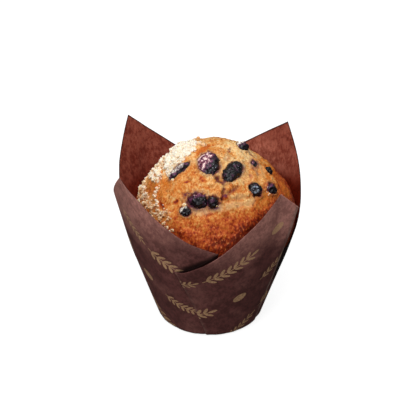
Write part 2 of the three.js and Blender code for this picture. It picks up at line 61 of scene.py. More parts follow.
# Azimuth of the foot, the petal on top, azimuth and slant height of both folds' ends, and how far
# the outer fold of a loose pleat stands off.
PLEATS = (
    {"foot": 268.6, "top": 1, "outer": (246.1, 45.9), "inner": (274.8, 59.8), "loose": 0},
    {"foot": 326.0, "top": 1, "outer": (324.2, 77.7), "inner": (313.3, 44.9), "loose": 0.4},
    {"foot": 448.9, "top": 3, "outer": (427.0, 47.2), "inner": (454.1, 59.2), "loose": 0},
    {"foot": 535.2, "top": 0, "outer": (512.3, 47.4), "inner": (539.9, 59.0), "loose": 0},
)

# What follows is finer than in the CAD source. A loose fold stands off between these slant heights,
# over this width before the fold, and the sheet behind it is darkened with painted shade over a width.
LOOSE_FROM, LOOSE_TO, LOOSE_WIDTH = (18.0, 34.0), (62.0, 74.0), 10.0
SHADE_TO, SHADE_WIDTH = (62.0, 72.0), 24.0
# Where the front right petal crosses the front left one its edge stands off by this much, between
# these azimuths, and down to this far below the edge.
STAND_OFF, STAND_FROM, STAND_TO, STAND_REACH = 1.5, (246.5, 254.0), (264.0, 294.0), 9.0
# The front left petal is darkened with painted shade from it between these heights above the edge.
STAND_SHADE = (-2.5, -1.0), (0.5, 2.6)

# The real sheet is thinner than the CAD solid's, and its layers lie closer. They lie closest at
# the base, pressed to this share of the pitch.
PAPER = 0.16
PITCH = 0.34
PRESSED, PRESSED_BELOW = 0.55, (1.0, 14.0)

# ---- The cake, as in the CAD source ----

CROWN_AXIS = np.array((2.3, -1.2))
CROWN_RADIUS, CROWN_HEIGHT, CROWN_SPRINGING, CROWN_POWER = 38.9, 41.6, 48.9, 1.81
CAKE_FLOOR = 1.75
RIM_OPENING = 0.3
EDGE_MARGIN = 2.0
FOLD_MARGIN = 6.0
BLEND = 1.0
LUMP_COUNT, LUMP_HEIGHT, LUMP_LENGTHS, LUMP_SEED = 14, 0.55, (16.0, 42.0), 7

# The large crumbs: how many, the patch that they lie in as stops of azimuth, middle rise and half
# its height, their sizes from first to last, and their spacing.
STREUSEL = (
    {"count": 24, "sizes": (4.2, 2.5), "spacing": 0.4,
     "path": ((148, 66, 12), (165, 68, 13), (184, 64, 11), (200, 60, 9), (212, 54, 4))},
    {"count": 12, "sizes": (3.8, 2.2), "spacing": 0.42,
     "path": ((154, 46, 7), (172, 45, 7), (186, 45, 6), (197, 46, 4))},
    {"count": 42, "sizes": (3.4, 1.8), "spacing": 0.5,
     "path": ((118, 52, 10), (140, 41, 11), (160, 31, 8), (178, 27, 6), (206, 26, 5), (230, 28, 5))},
)
CRUMB_TURNS, CRUMB_SINK, CRUMB_REACH, CRUMB_TRIES = (0.7549, 0.5698, 0.3819), 0.08, 0.6, 600
BERRY_GAP = 0.3

# Azimuth and rise on the crown, size, turn and sunk are as in the CAD source; pulp is how much torn
# flesh shows, with painted pinkish-white highlights on it, stain how far the juice has run, and sugar
# how much sugar sticks to it, with painted white highlights.
BERRIES = [dict(zip(("at", "size", "turn", "sunk", "pulp_and_glints", "stain", "sugar_and_glints"), row)) for row in (
    ((256, 69.5), (12.4, 9.2, 6.5), -65, 0.68, 1.3, 0.45, 0),
    ((299, 62), (13, 7, 6.5), 30, 0.62, 0, 0.35, 0),
    ((215, 57.5), (12, 4.8, 5), 74, 0.66, 0.5, 0.3, 1),
    ((253, 43.5), (8.8, 6.4, 6), 8, 0.62, 0.75, 0.8, 0),
    ((268, 43.5), (5.2, 5, 5), 0, 0.62, 0.1, 0.6, 0),
    ((244.5, 36), (5, 4, 4), 20, 0.6, 0, 0.2, 0.8),
    ((314, 46), (6.2, 6.2, 6.2), 0, 0.6, 0, 0.25, 0),
    ((333, 41), (5.2, 4.8, 4.6), 0, 0.58, 0.8, 0.4, 0),
    ((353, 48), (4.4, 3.4, 3.6), -50, 0.58, 0, 0.2, 0),
    ((18, 68), (6.6, 5.4, 5), -30, 0.52, 0.6, 0.3, 1.8),
    ((343, 59), (3.2, 2.8, 2.8), 0, 0.6, 0.7, 0.7, 0),
)]
# The ways that one berry's torn side and one's flower end face.
BERRIES[3]["torn"] = (-0.35, 0.8, 0.45)
BERRIES[6]["calyx"] = (0.1, -0.8, 0.6)

# ---- The crust, finer than in the CAD source ----

# The cake lies closer to the paper than the CAD solid does.
CAKE_GAP = 0.3

# Splits in the crust: depth, width, stain, and a path of azimuth and rise on the crown. They have
# raised lips: their height, how far they are from the middle, and their width.
CRACKS = (
    (1.0, 0.5, 0.5, ((268, 61), (275, 57), (281, 54), (279, 50), (276, 45.5))),
    (0.35, 1.1, 0.0, ((279, 49), (287, 49), (297, 51))),
    (0.4, 0.8, 0.0, ((276, 44.5), (288, 44), (300, 44), (310, 42.5))),
)
CRACK_LIP, CRACK_LIP_AWAY, CRACK_LIP_WIDTH = 0.35, 1.8, 1.0
# A berry's pocket falls away between these distances from its outline, and has a lip as well.
POCKET_DEPTH, POCKET_WALL = 0.9, (-1.2, 0.35)
POCKET_LIP, POCKET_LIP_AWAY, POCKET_LIP_WIDTH = 0.55, 0.75, 0.6
STAIN_DEPTH = 0.35
# How deep the pits are, and how much painted shade darkens them, the cracks and the pockets' edges.
# The foot's pits get less of it by this share.
PIT_DEPTH, PIT_SHADE, CRACK_SHADE, POCKET_SHADE, PIT_SHADE_FOOT = 0.45, 0.35, 0.8, 0.85, 0.7

# Patches of the crust that are browner, more orange, stained by juice or paler than what lies round
# them: azimuth and rise, half length and half width in millimetres, turn, and strength.
SPOTS = {
    "toast": (
        ((203, 80), (6, 1.5), 118, 0.85), ((253, 57), (2, 1.5), 40, 0.7), ((233, 40), (2, 1), 50, 1.1),
        ((220, 34), (4.5, 0.9), -25, 0.8), ((235, 53), (1.5, 0.8), 30, 0.8),
        ((279, 46.5), (1.7, 1.2), 20, 0.9), ((320, 54), (1.6, 0.7), 40, 0.6), ((348, 38), (4, 2), 70, 0.3),
    ),
    "amber": (
        ((203, 43), (8, 5), 0, 0.85), ((226, 47), (7, 4), 0, 0.4), ((203, 80), (6.5, 2.5), 118, 0.7),
        ((348, 50), (10, 6), 80, 0.75), ((14, 44), (9, 7), 80, 0.7), ((356, 32), (7, 5), 0, 0.7),
        ((318, 39), (6, 4), 20, 0.5),
    ),
    "stain": (
        ((249, 46.5), (5.6, 1.9), 8, 1), ((240, 44), (2.2, 1.4), 40, 0.6), ((283, 48), (3.2, 1.1), 20, 0.8),
        ((290, 50), (3.4, 0.9), 25, 0.6), ((340, 78), (2.6, 1), 15, 0.8), ((334, 55), (2.8, 1.1), 70, 0.5),
        ((273, 58), (2.6, 0.7), 60, 0.7), ((235, 53), (1.2, 0.7), 30, 0.4), ((6, 62), (2.6, 0.6), 80, 0.9),
        ((262, 41), (2.4, 1), 0, 0.4), ((306, 74), (3.2, 1.6), 20, 0.35),
    ),
    "pale": (
        ((303, 71), (4.5, 2.4), 20, 0.3), ((279, 66), (1.8, 4), 0, 0.6), ((232, 68), (3, 1.6), 0, 0.5),
        ((295, 45), (4, 1.6), 0, 0.5), ((302, 40), (4.5, 1.8), 20, 0.55), ((272, 40), (4.5, 2), 0, 0.7),
        ((288, 41), (6, 1.8), 0, 0.6), ((257, 38), (4.5, 2.2), 0, 0.65), ((312, 57), (5, 4), 0, 0.35),
        ((211, 53), (2.5, 2.5), 0, 0.5),
    ),
}
# The crust has settled about one azimuth: the azimuth, how far it has sunk in millimetres, and the
# rises between which it fades in and out.
SETTLED = {"azimuth": 24.0, "depth": 1.2, "from": (22.0, 38.0), "to": (58.0, 72.0)}

# The flour and the fine crumbs end at these rises.
STREUSEL_TOP = (72.5, 76.5)
# Crumbs that lie on their own: azimuth and rise, how far they spread in millimetres, how many there
# are, and their size.
LOOSE_CRUMBS = (
    ((204, 38), 1.7, 9, 1.5), ((207, 34.5), 1.2, 4, 1.2), ((212, 32.5), 1.4, 5, 1.2),
    ((223, 33), 1.0, 3, 1.0), ((230, 31.5), 1.2, 4, 1.0), ((237, 21.5), 1.3, 4, 1.1),
    ((242.5, 38.5), 1.1, 6, 1.5), ((272, 41.3), 0.9, 5, 1.1), ((325, 39.6), 1.2, 6, 0.8),
    ((216, 60), 0.6, 2, 1.1), ((349, 78), 1.0, 3, 1.0),
)

# The crust is this crumbly, and so much more above these rises. A spot and a crumb's patch are
# full within the first share of their reach, and end at the second.
CRUMBLY, CRUMBLY_SIDE, CRUMBLY_TOP = 0.7, (0.3, 25, 50), (0.4, 66, 80)
SPOT_EDGE, PATCH_EDGE = (0.5, 1.3), (0.8, 1.25)
# How high the flour lies in the heap, the small patch and the belt, and how white it is: in the
# heap, there where it is clumped, in the small patch and in the belt.
BED, DUST = (0.9, 0.5, 0.2), (0.8, 0.3, 0.5, 0.25)
# Painted light and shade are in some of what follows: the foot ends lower and is lighter at the left, the
# flank about its heading is lighter, and the belly is darker at the right.
# The foot of the crown ends between these rises, and lower by up to so much at the left and at the
# right, about these headings.
FOOT_RISES, FOOT_LEFT, FOOT_RIGHT, LEFT, RIGHT = (12, 52), 10, 4, 190, 318
# How brown the crown is, what each part of it adds, more or less of that at the left or right, and
# the rises between which a part ends.
BAKE_CROWN, BAKE_FOOT, PAINTED_LIGHT_FOOT_LEFT = 0.2, 0.72, -0.06
BAKE_SIDE, BAKE_SIDE_RIGHT, SIDE_RISES = 0.12, -0.07, (50, 70)
BAKE_BELLY, PAINTED_SHADE_BELLY_RIGHT, BELLY_RISES = -0.06, 0.34, (28, 37)
BAKE_FRONT, FRONT, FRONT_WIDTH, FRONT_RISES = -0.1, 268, 12, (15, 23)
PAINTED_LIGHT_FLANK, PAINTED_LIGHT_FLANK_HIGH, FLANK, FLANK_RISES = -0.15, -0.13, 10, (44, 64)
BAKE_TOP, TOP_RISES = 0.08, (68, 80)
# What toasted spots and noise add, less noise at the foot, and what raised places lose.
BAKE_TOAST, BAKE_NOISE, BAKE_NOISE_FOOT, BAKE_RAISED = 0.55, 0.16, -0.08, -0.06

# Kinds of roughness on the crust: height, shift of the noise, size and layers.
ROUGHNESS = {
    "swell": (0.6, 0, 8.5, 2),
    "crumb": (0.36, 50, 3.3, 2),
    "grit": (0.2, 80, 1.4, 2),
    "pits": (1, 90, 2.1, 1),
    "spots": (0.35, 130, 2.2, 2),
    "cracks": (0.55, 30, 1.9, 2),
    "pockets": (0.65, 70, 2.6, 4),
    "lips": (0.6, 200, 3.2, 2),
    "clumps": (1, 10, 3.0, 3),
    "heap": (0.7, 20, 2.4, 3),
    "bake_and_shading": (1, 160, 5.5, 3),
}

# ---- Shared tools ----


def srgb(red, green, blue):
    """A linear colour from the 0 to 255 values that a picture shows."""
    share = np.array((red, green, blue)) / 255
    linear = np.where(share <= 0.04045, share / 12.92, ((share + 0.055) / 1.055) ** 2.4)
    return (*linear.tolist(), 1.0)


def lerp(a, b, share):
    return a + (b - a) * share


def smoothstep(value, low, high):
    share = np.clip((value - low) / (high - low), 0, 1)
    return share * share * (3 - 2 * share)


def window(value, rising, falling):
    return smoothstep(value, *rising) * (1 - smoothstep(value, *falling))


def bell(value, width):
    return np.exp(-((value / width) ** 2))


def toward(azimuth, heading, low, high):
    """1 about one heading, where the cosine of the angle to it is above high, and 0 below low."""
    return smoothstep(np.cos(np.radians(azimuth - heading)), low, high)


def near(azimuth, reference):
    """The same azimuth, in the turn that lies nearest to another."""
    return azimuth + 360 * np.round((reference - azimuth) / 360)


def polar(radius, angle, height):
    """Points at a distance from the axis, an angle in radians and a height."""
    parts = np.broadcast_arrays(radius * np.cos(angle), radius * np.sin(angle), height)
    return np.stack(parts, axis=-1)


def linear_congruential(seed):
    """The CAD source's own random numbers."""
    state = seed
    while True:
        state = (1664525 * state + 1013904223) % 4294967296
        yield state / 4294967296


class GradientNoise:
    """Smooth noise of about -1 to 1 at points in space."""

    def __init__(self, seed):
        random = np.random.default_rng(seed)
        self.table = random.permutation(256)
        slopes = random.normal(size=(256, 3))
        self.slopes = slopes / np.linalg.norm(slopes, axis=1, keepdims=True)

    def at(self, points, size):
        scaled = points / size
        cell = np.floor(scaled).astype(int)
        inside = scaled - cell
        weight = inside**3 * (inside * (inside * 6 - 15) + 10)
        total = 0
        for corner in np.ndindex(2, 2, 2):
            index = (cell + corner) & 255
            hashed = self.table[index[..., 0]]
            hashed = self.table[(hashed + index[..., 1]) & 255]
            hashed = self.table[(hashed + index[..., 2]) & 255]
            slope = (self.slopes[hashed] * (inside - corner)).sum(axis=-1)
            total += slope * np.where(np.array(corner) == 1, weight, 1 - weight).prod(axis=-1)
        return total * 1.7

    def layers(self, points, size, count):
        """Noise with finer and weaker noise on top, each of half the size and height."""
        return sum(self.at(points + 17.3 * layer, size / 2**layer) * 0.5**layer for layer in range(count))


noise = GradientNoise(11)


def rough(kind, points):
    """One of the kinds of roughness at points of the crust."""
    height, shift, size, count = ROUGHNESS[kind]
    return height * noise.layers(points + shift, size, count)


def add_object(name, data):
    thing = bpy.data.objects.new(name, data)
    bpy.context.scene.collection.objects.link(thing)
    return thing


def make_piece(name, points, faces, materials, values, face_materials=None, smooth=True):
    """A mesh object from points in millimetres, riding on the part's one body."""
    mesh = bpy.data.meshes.new(name)
    mesh.from_pydata((np.asarray(points) * MM).tolist(), [], [list(map(int, face)) for face in faces])
    for key, value in values.items():
        value = np.asarray(value, float)
        kind, field = ("FLOAT_VECTOR", "vector") if value.ndim == 2 else ("FLOAT", "value")
        mesh.attributes.new(key, kind, "POINT").data.foreach_set(field, value.astype(np.float32).ravel())
    for material in materials:
        mesh.materials.append(material)
    if face_materials is not None:
        mesh.polygons.foreach_set("material_index", np.asarray(face_materials, np.int32))
    if smooth:
        mesh.shade_smooth()
    mesh.validate()
    piece = add_object(name, mesh)
    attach(piece, "root")
    return piece


def icosphere(subdivisions):
    """Points and triangles of a unit icosphere."""
    golden = (1 + 5**0.5) / 2
    points = [(-1, golden, 0), (1, golden, 0), (-1, -golden, 0), (1, -golden, 0)]
    points += [(z, x, y) for x, y, z in points] + [(y, z, x) for x, y, z in points]
    points = np.array(points, float)
    points /= np.linalg.norm(points[0])
    edge = np.linalg.norm(points[:, None] - points[None], axis=2)
    shortest = edge[edge > 0.1].min() * 1.01
    faces = []
    for a, b, c in combinations(range(12), 3):
        if max(edge[a, b], edge[b, c], edge[a, c]) < shortest:
            turn = np.dot(np.cross(points[b] - points[a], points[c] - points[a]), points[a])
            faces.append((a, b, c) if turn > 0 else (a, c, b))
    faces = np.array(faces)
    for _ in range(subdivisions):
        edges = np.sort(np.concatenate([faces[:, [0, 1]], faces[:, [1, 2]], faces[:, [2, 0]]]), axis=1)
        unique, place = np.unique(edges, axis=0, return_inverse=True)
        middles = points[unique].mean(axis=1)
        middles /= np.linalg.norm(middles, axis=1, keepdims=True)
        ab, bc, ca = place.reshape(3, -1) + len(points)
        a, b, c = faces.T
        points = np.concatenate([points, middles])
        quarters = [(a, ab, ca), (ab, b, bc), (ca, bc, c), (ab, bc, ca)]
        faces = np.concatenate([np.stack(quarter, axis=1) for quarter in quarters])
    return points, faces


def stitch(counts):
    """Triangles between rings of evenly spaced points, listed from the top ring down."""
    starts = np.concatenate([[0], np.cumsum(counts)])
    faces = []
    for ring, (n, m) in enumerate(zip(counts[:-1], counts[1:])):
        upper, lower = starts[ring], starts[ring + 1]
        if n > 1:
            k = np.arange(n)
            j = ((k + 1) * m - 1) // n
            faces.append(np.stack([upper + k, lower + j % m, upper + (k + 1) % n], axis=1))
        if m > 1:
            k = np.arange(m)
            i = ((k + 1) * n) // m
            faces.append(np.stack([upper + i % n, lower + k, lower + (k + 1) % m], axis=1))
    return np.concatenate(faces)


# ---- The paper's surface ----

BEND_TANGENT = BASE_BEND * np.tan((np.pi / 2 - FLARE) / 2)
# The noise for slow waves of the sheet and for creases pressed into its lower part, then their
# height and the slant heights between which they fade.
WAVES = {"size": 17, "radius": 30, "share": 0.5, "shift": 0}
CREASES = {"size": 3.2, "radius": 24, "share": 0.06, "shift": 40}
WAVE_HEIGHT, WAVES_FROM = 0.32, (10, 60)
CREASE_HEIGHT, CREASES_FROM, CREASES_TO = 0.16, (-2, 1.5), (6, 42)


def sheet_noise(azimuth, slant, size, radius, share, shift):
    return noise.layers(polar(radius, np.radians(azimuth), slant * share) + shift, size, 2)


def paper_waves(azimuth, slant):
    """How far the sheet stands proud of its true form."""
    waves = WAVE_HEIGHT * sheet_noise(azimuth, slant, **WAVES) * smoothstep(slant, *WAVES_FROM)
    creases = CREASE_HEIGHT * sheet_noise(azimuth, slant, **CREASES)
    return waves + creases * window(slant, CREASES_FROM, CREASES_TO)


def paper_point(azimuth, slant, curl, inset):
    """A point of the case, moved in from the outer face. Slant heights below 0 are on the base."""
    azimuth, slant, curl, inset = np.broadcast_arrays(azimuth, slant, curl, inset)
    growth = np.maximum((slant - CURL_START) / CURL_SPAN, 0) ** CURL_POWER
    share = np.clip((slant + BEND_TANGENT) / (2 * BEND_TANGENT), 0, 1)
    turn = share * (np.pi / 2 - FLARE)
    on_wall = slant > BEND_TANGENT
    flat = slant < -BEND_TANGENT
    radius = BASE_RADIUS - BEND_TANGENT + BASE_BEND * np.sin(turn)
    radius = np.where(on_wall, BASE_RADIUS + slant * np.sin(FLARE) + curl * growth, radius)
    radius = np.where(flat, BASE_RADIUS + slant, radius)
    height = np.where(on_wall, slant * np.cos(FLARE), BASE_BEND * (1 - np.cos(turn)))
    height = np.where(flat, 0, height)
    tilt = np.pi / 2 - turn
    inward = inset - paper_waves(azimuth, slant)
    return polar(radius - inward * np.cos(tilt), np.radians(azimuth), height + inward * np.sin(tilt))


def wall_radius(slant):
    return BASE_RADIUS + np.maximum(slant, 0) * np.sin(FLARE)


def pitch_at(slant):
    return PITCH * lerp(PRESSED, 1, smoothstep(slant, *PRESSED_BELOW))


def make_fold(number, end, turn=0):
    """The outer or inner fold of a pleat, turned by some degrees."""
    pleat = PLEATS[number]
    azimuth, slant = pleat[end]
    way = 1 if (pleat["top"] == number) == (end == "outer") else -1
    foot = pleat["foot"] + way * FOLD_SPREAD
    return {"foot": foot + turn, "azimuth": azimuth + turn, "slant": slant, "way": way}


for number, petal in enumerate(PETALS):
    petal["sides"] = []
    for direction, sag, at in zip((-1, 1), petal["sag"], ((number - 1) % 4, number)):
        turn = -360 if at > number else 0
        top = PLEATS[at]["top"]
        petal["sides"].append({
            "direction": direction,
            "sag": sag,
            "fold": make_fold(at, "outer" if top == number else "inner", turn),
            "cover_fold": None if top == number else make_fold(at, "outer", turn),
            "cover_petal": None if top == number else PETALS[top],
            "loose": PLEATS[at]["loose"],
        })
    petal["foot"] = (petal["sides"][0]["fold"]["foot"] + petal["sides"][1]["fold"]["foot"]) / 2
    petal["corner"] = 225 + 90 * number


def fold_azimuth(fold, slant):
    return lerp(fold["foot"], fold["azimuth"], np.maximum(slant, 0) / fold["slant"])


def past_fold(side, fold, azimuth, slant):
    """How far points lie beyond a fold, in millimetres along the wall."""
    return np.radians((azimuth - fold_azimuth(fold, slant)) * side["direction"]) * wall_radius(slant)


def own_curl(petal, azimuth):
    tip = petal["tip"][0]
    angle = near(azimuth, tip) - tip
    spans = [side["fold"]["azimuth"] - tip for side in petal["sides"]]
    share = np.minimum(angle / np.where(angle < 0, spans[0], spans[1]), 1)
    return petal["curl"] * (1 - share * share)


def curl_of(petal, azimuth):
    curl = own_curl(petal, azimuth)
    for side in petal["sides"]:
        if side["cover_petal"]:
            curl = np.minimum(curl, own_curl(side["cover_petal"], azimuth))
    return curl


def tuck_of(petal, azimuth, slant):
    """How far a petal lies behind the folds that cover its sides."""
    tuck = 0
    for side in petal["sides"]:
        if side["cover_fold"]:
            past = past_fold(side, side["cover_fold"], azimuth, slant)
            tuck = np.maximum(tuck, smoothstep(past, -TUCK_WIDTH, -TUCK_CLEAR))
    return 2 * pitch_at(slant) * tuck


def petal_column(petal, side, u):
    """Top, foot and end azimuth of the column at the share u from the tip to a side's fold."""
    top = lerp(petal["tip"][1], side["fold"]["slant"], u) - 4 * side["sag"] * u * (1 - u)
    foot = lerp(petal["foot"], side["fold"]["foot"], u)
    end = lerp(petal["tip"][0], side["fold"]["azimuth"], u)
    return top, foot, end


def column_azimuth(column, slant):
    top, foot, end = column
    return lerp(foot, end, np.maximum(slant, 0) / top)


def middle_azimuth(petal, slant):
    return column_azimuth(petal_column(petal, petal["sides"][0], 0), slant)


def columns_through(petal, azimuth, slant):
    """Whether a petal has a column through each point, and how high that column's top is."""
    middle = middle_azimuth(petal, slant)
    tops = np.zeros(len(azimuth))
    present = np.zeros(len(azimuth), bool)
    for number, side in enumerate(petal["sides"]):
        mine = (azimuth < middle) if number == 0 else (azimuth >= middle)
        low, high = np.zeros(len(azimuth)), np.ones(len(azimuth))

        def beyond(u):
            return (azimuth - column_azimuth(petal_column(petal, side, u), slant)) * side["direction"]

        found = mine & (beyond(high) < FOLD_MARGIN)
        for _ in range(12):
            u = (low + high) / 2
            outside = beyond(u) > 0
            low, high = np.where(outside, u, low), np.where(outside, high, u)
        tops = np.where(found, petal_column(petal, side, high)[0], tops)
        present |= found
    return present, tops


def sheet_angle(petal, azimuth, slant):
    """The angle on the flat sheet of a point of a petal, in degrees."""
    flat = BASE_RADIUS + np.maximum(slant, 0)
    return petal["corner"] + (azimuth - middle_azimuth(petal, slant)) * wall_radius(slant) / flat


def paper_column(faces, angle, slant, fold_highlight, shade):
    """A column of the case: both faces, its place on the flat sheet, and its marks."""
    place = polar(BASE_RADIUS + slant, np.radians(angle), 0)
    return (*faces, place, np.stack([0 * slant + fold_highlight, 0 * slant + shade], axis=1))


# ---- The paper case ----

COLUMN_STEP = 1.5
BEND_ANGLES = np.radians((-50, 0, 50))
MIDDLE_COLUMNS = 14
WALL_ROWS = 60
BEND_ROWS = 6
# The last rows mark off the thin dark line along the cut edge.
RIM_ROWS = (0.85, 0.5)
FOOT_LAP = 2.0
BASE_DISC_RINGS = (1, 24, 48, 72, 96)
# How wide and how strong the painted highlight along an outer fold is: stronger where the pleat is loose.
FOLD_HIGHLIGHT_WIDTHS, FOLD_HIGHLIGHT, FOLD_HIGHLIGHT_LOOSE = (-1.4, -0.1), 0.2, 1.0
# Fat from the cake and painted shade darken the printed and the inner face up to these slant
# heights. The dark climbs higher about one heading of the sheet: that heading, a width in degrees,
# and how much higher.
SOAKED_AND_SHADED = (
    {"below": (46, 76), "climbs": (-112.0, 25.0, 6.0)},
    {"below": (54, 70), "climbs": (30.0, 12.0, 12.0)},
)
# The inner face has painted light about one heading, between these slant heights.
PAINTED_LIGHT = {"heading": 54.0, "width": 15.0, "from": (61.0, 68.0), "to": (72.0, 82.0), "strength": 0.55}


def row_slants(top):
    bend = np.linspace(-BEND_TANGENT, BEND_TANGENT, BEND_ROWS + 1)
    wall = np.linspace(BEND_TANGENT, top - RIM_ROWS[0], WALL_ROWS + 1)[1:]
    return np.concatenate([[-BEND_TANGENT - FOOT_LAP], bend, wall, [top - RIM_ROWS[1], top]])


def stand_off(petal, azimuth, slant, top):
    """How far a petal stands off what lies behind it, the painted highlight along its folds, and the painted
    shade on it.
    """
    off, fold_highlight, shade = 0 * slant, 0 * slant, 0 * slant
    crossing = window(azimuth, STAND_FROM, STAND_TO)
    if petal is PETALS[1]:
        off = STAND_OFF * crossing * bell(top - slant, STAND_REACH)
    if petal is PETALS[0]:
        present, over = columns_through(PETALS[1], azimuth, slant)
        shade = present * crossing * window(slant - over, *STAND_SHADE)
    for side in petal["sides"]:
        past = past_fold(side, side["cover_fold"] or side["fold"], azimuth, slant)
        if not side["cover_fold"]:
            fold_highlight = np.maximum(fold_highlight, smoothstep(past, *FOLD_HIGHLIGHT_WIDTHS) * (FOLD_HIGHLIGHT_LOOSE if side["loose"] else FOLD_HIGHLIGHT))
            loosened = side["loose"] * window(slant, LOOSE_FROM, LOOSE_TO)
            off = off + loosened * smoothstep(past, -LOOSE_WIDTH, -0.5)
        elif side["loose"]:
            behind = window(slant, LOOSE_FROM, SHADE_TO) * smoothstep(past, -SHADE_WIDTH, -SHADE_WIDTH / 3)
            shade = np.maximum(shade, behind)
    return off, fold_highlight, shade


def petal_band(petal):
    columns = []
    for side, reverse in zip(petal["sides"], (True, False)):
        steps = int(np.ceil(abs(side["fold"]["azimuth"] - petal["tip"][0]) / COLUMN_STEP))
        shares = np.arange(steps, 0, -1) / steps if reverse else np.arange(0, steps + 1) / steps
        for u in shares:
            column = petal_column(petal, side, u)
            slant = row_slants(column[0])
            azimuth = column_azimuth(column, slant)
            curl = curl_of(petal, azimuth)
            off, fold_highlight, shade = stand_off(petal, azimuth, slant, column[0])
            tuck = tuck_of(petal, azimuth, slant) - off
            faces = [paper_point(azimuth, slant, curl, tuck + depth) for depth in (0, PAPER)]
            columns.append(paper_column(faces, sheet_angle(petal, azimuth, slant), slant, fold_highlight, shade))
    return columns


def fold_band(fold, petal, top_petal, layers, hollow, loose=0):
    """The sheet turns back round a fold, from one layer to the next. Layer 0 is the outer one."""
    slant = row_slants(fold["slant"])
    loosened = loose * window(slant, LOOSE_FROM, LOOSE_TO)
    insets = [layer * pitch_at(slant) + PAPER / 2 - loosened * (layer == 0) for layer in layers]
    middle, half = sum(insets) / 2, (insets[1] - insets[0]) / 2
    columns = []
    for bend in BEND_ANGLES:
        faces = []
        for face in (0, 1):
            reach = abs(half) + PAPER / 2 * (-1 if face == hollow else 1)
            turn = np.degrees(reach * np.cos(bend) / wall_radius(slant)) * fold["way"]
            azimuth = fold_azimuth(fold, slant) + turn
            inset = middle + np.sign(half) * reach * np.sin(bend)
            faces.append(paper_point(azimuth, slant, own_curl(top_petal, azimuth), inset))
        angle = sheet_angle(petal, near(fold_azimuth(fold, slant), petal["tip"][0]), slant)
        # An outer fold gets a painted highlight, strongest at its middle, and an inner fold full painted
        # shade.
        columns.append(paper_column(faces, angle, slant, hollow * np.cos(1.5 * bend), 1 - hollow))
    return columns


def middle_band(start, finish, top_petal, petals):
    """The hidden layer between a pleat's two folds, in full painted shade."""
    columns = []
    for share in np.linspace(0, 1, MIDDLE_COLUMNS):
        top, foot, end = (lerp(start[key], finish[key], share) for key in ("slant", "foot", "azimuth"))
        top = top - 4 * MIDDLE_SAG * share * (1 - share)
        slant = row_slants(top)
        azimuth = column_azimuth((top, foot, end), slant)
        curl = own_curl(top_petal, azimuth)
        faces = [paper_point(azimuth, slant, curl, pitch_at(slant) + depth) for depth in (PAPER, 0)]
        ends = []
        for petal, fold in zip(petals, (start, finish)):
            place = near(fold_azimuth(fold, slant), petal["tip"][0])
            ends.append(sheet_angle(petal, place, slant))
        ends[1] = near(ends[1], ends[0] + 20)
        columns.append(paper_column(faces, lerp(*ends, share), slant, 0, 1))
    return columns


def pleat_band(number):
    pleat = PLEATS[number]
    outer, inner, top_petal = make_fold(number, "outer"), make_fold(number, "inner"), PETALS[pleat["top"]]
    petals = (PETALS[number], PETALS[(number + 1) % 4])
    if pleat["top"] == number:
        return (fold_band(outer, petals[0], top_petal, (0, 1), 1, pleat["loose"])
                + middle_band(outer, inner, top_petal, petals)
                + fold_band(inner, petals[1], top_petal, (1, 2), 0))
    return (fold_band(inner, petals[0], top_petal, (2, 1), 0)
            + middle_band(inner, outer, top_petal, petals)
            + fold_band(outer, petals[1], top_petal, (1, 0), 1, pleat["loose"]))


def paper_geometry():
    """Points, quads, sheet places, marks (a painted highlight at a fold, painted shade behind one) and
    face materials: 0 printed face, 1 inner face, 2 cut edge."""
    columns = []
    for number, petal in enumerate(PETALS):
        columns += petal_band(petal) + pleat_band(number)
    outer, inner, places, marks = (np.stack(kind) for kind in zip(*columns))
    count, rows = outer.shape[:2]
    c, r = (index.ravel() for index in np.meshgrid(np.arange(count), np.arange(rows - 1), indexing="ij"))
    after = (c + 1) % count
    a, b, d, e = c * rows + r, after * rows + r, after * rows + r + 1, c * rows + r + 1
    inner_start = count * rows
    printed = np.stack([a, b, d, e], axis=1)
    hidden = np.stack([a, e, d, b], axis=1) + inner_start
    edge = []
    for row, order in ((0, (3, 2, 1, 0)), (rows - 1, (0, 1, 2, 3))):
        here = np.arange(count) * rows + row
        there = np.roll(here, -1)
        quad = np.stack([here, there, there + inner_start, here + inner_start], axis=1)
        edge.append(quad[:, order])
    quads = np.concatenate([printed, hidden, *edge])
    kinds = np.repeat([0, 1, 2], [len(printed), len(hidden), 2 * count])
    points = np.concatenate([outer, inner]).reshape(-1, 3)
    return points, quads, np.tile(places.reshape(-1, 3), (2, 1)), np.tile(marks.reshape(-1, 2), (2, 1)), kinds


def base_disc():
    """The flat bottom of the sheet, a disc that meets the wall's paper."""
    radius = BASE_RADIUS - BEND_TANGENT
    rings = [(0.0, 1)] + [(radius * (k + 1) / 4, count) for k, count in enumerate(BASE_DISC_RINGS[1:])]
    points, counts = [], []
    for height, layer in ((2 * PITCH + PAPER, rings), (0.0, reversed(rings))):
        for reach, count in layer:
            points.append(polar(reach, 2 * np.pi * np.arange(count) / count, height))
            counts.append(count)
    return np.concatenate(points), stitch(np.array(counts))


# ---- The cake's surface ----


def room_inside(points):
    """The largest distance from the axis that the cake may reach at each point's height."""
    slant = points[:, 2] / np.cos(FLARE)
    angle = np.degrees(np.arctan2(points[:, 1], points[:, 0]))
    room = np.full(len(points), 1e3)
    for petal in PETALS:
        azimuth = near(angle, petal["tip"][0])
        present, top = columns_through(petal, azimuth, slant)
        above = np.maximum(slant - top - EDGE_MARGIN, 0)
        inset = tuck_of(petal, azimuth, slant) + PAPER + CAKE_GAP
        reach = np.hypot(*paper_point(azimuth, slant, curl_of(petal, azimuth), inset)[:, :2].T)
        room = np.where(present, np.minimum(room, reach + above * RIM_OPENING), room)
    return room


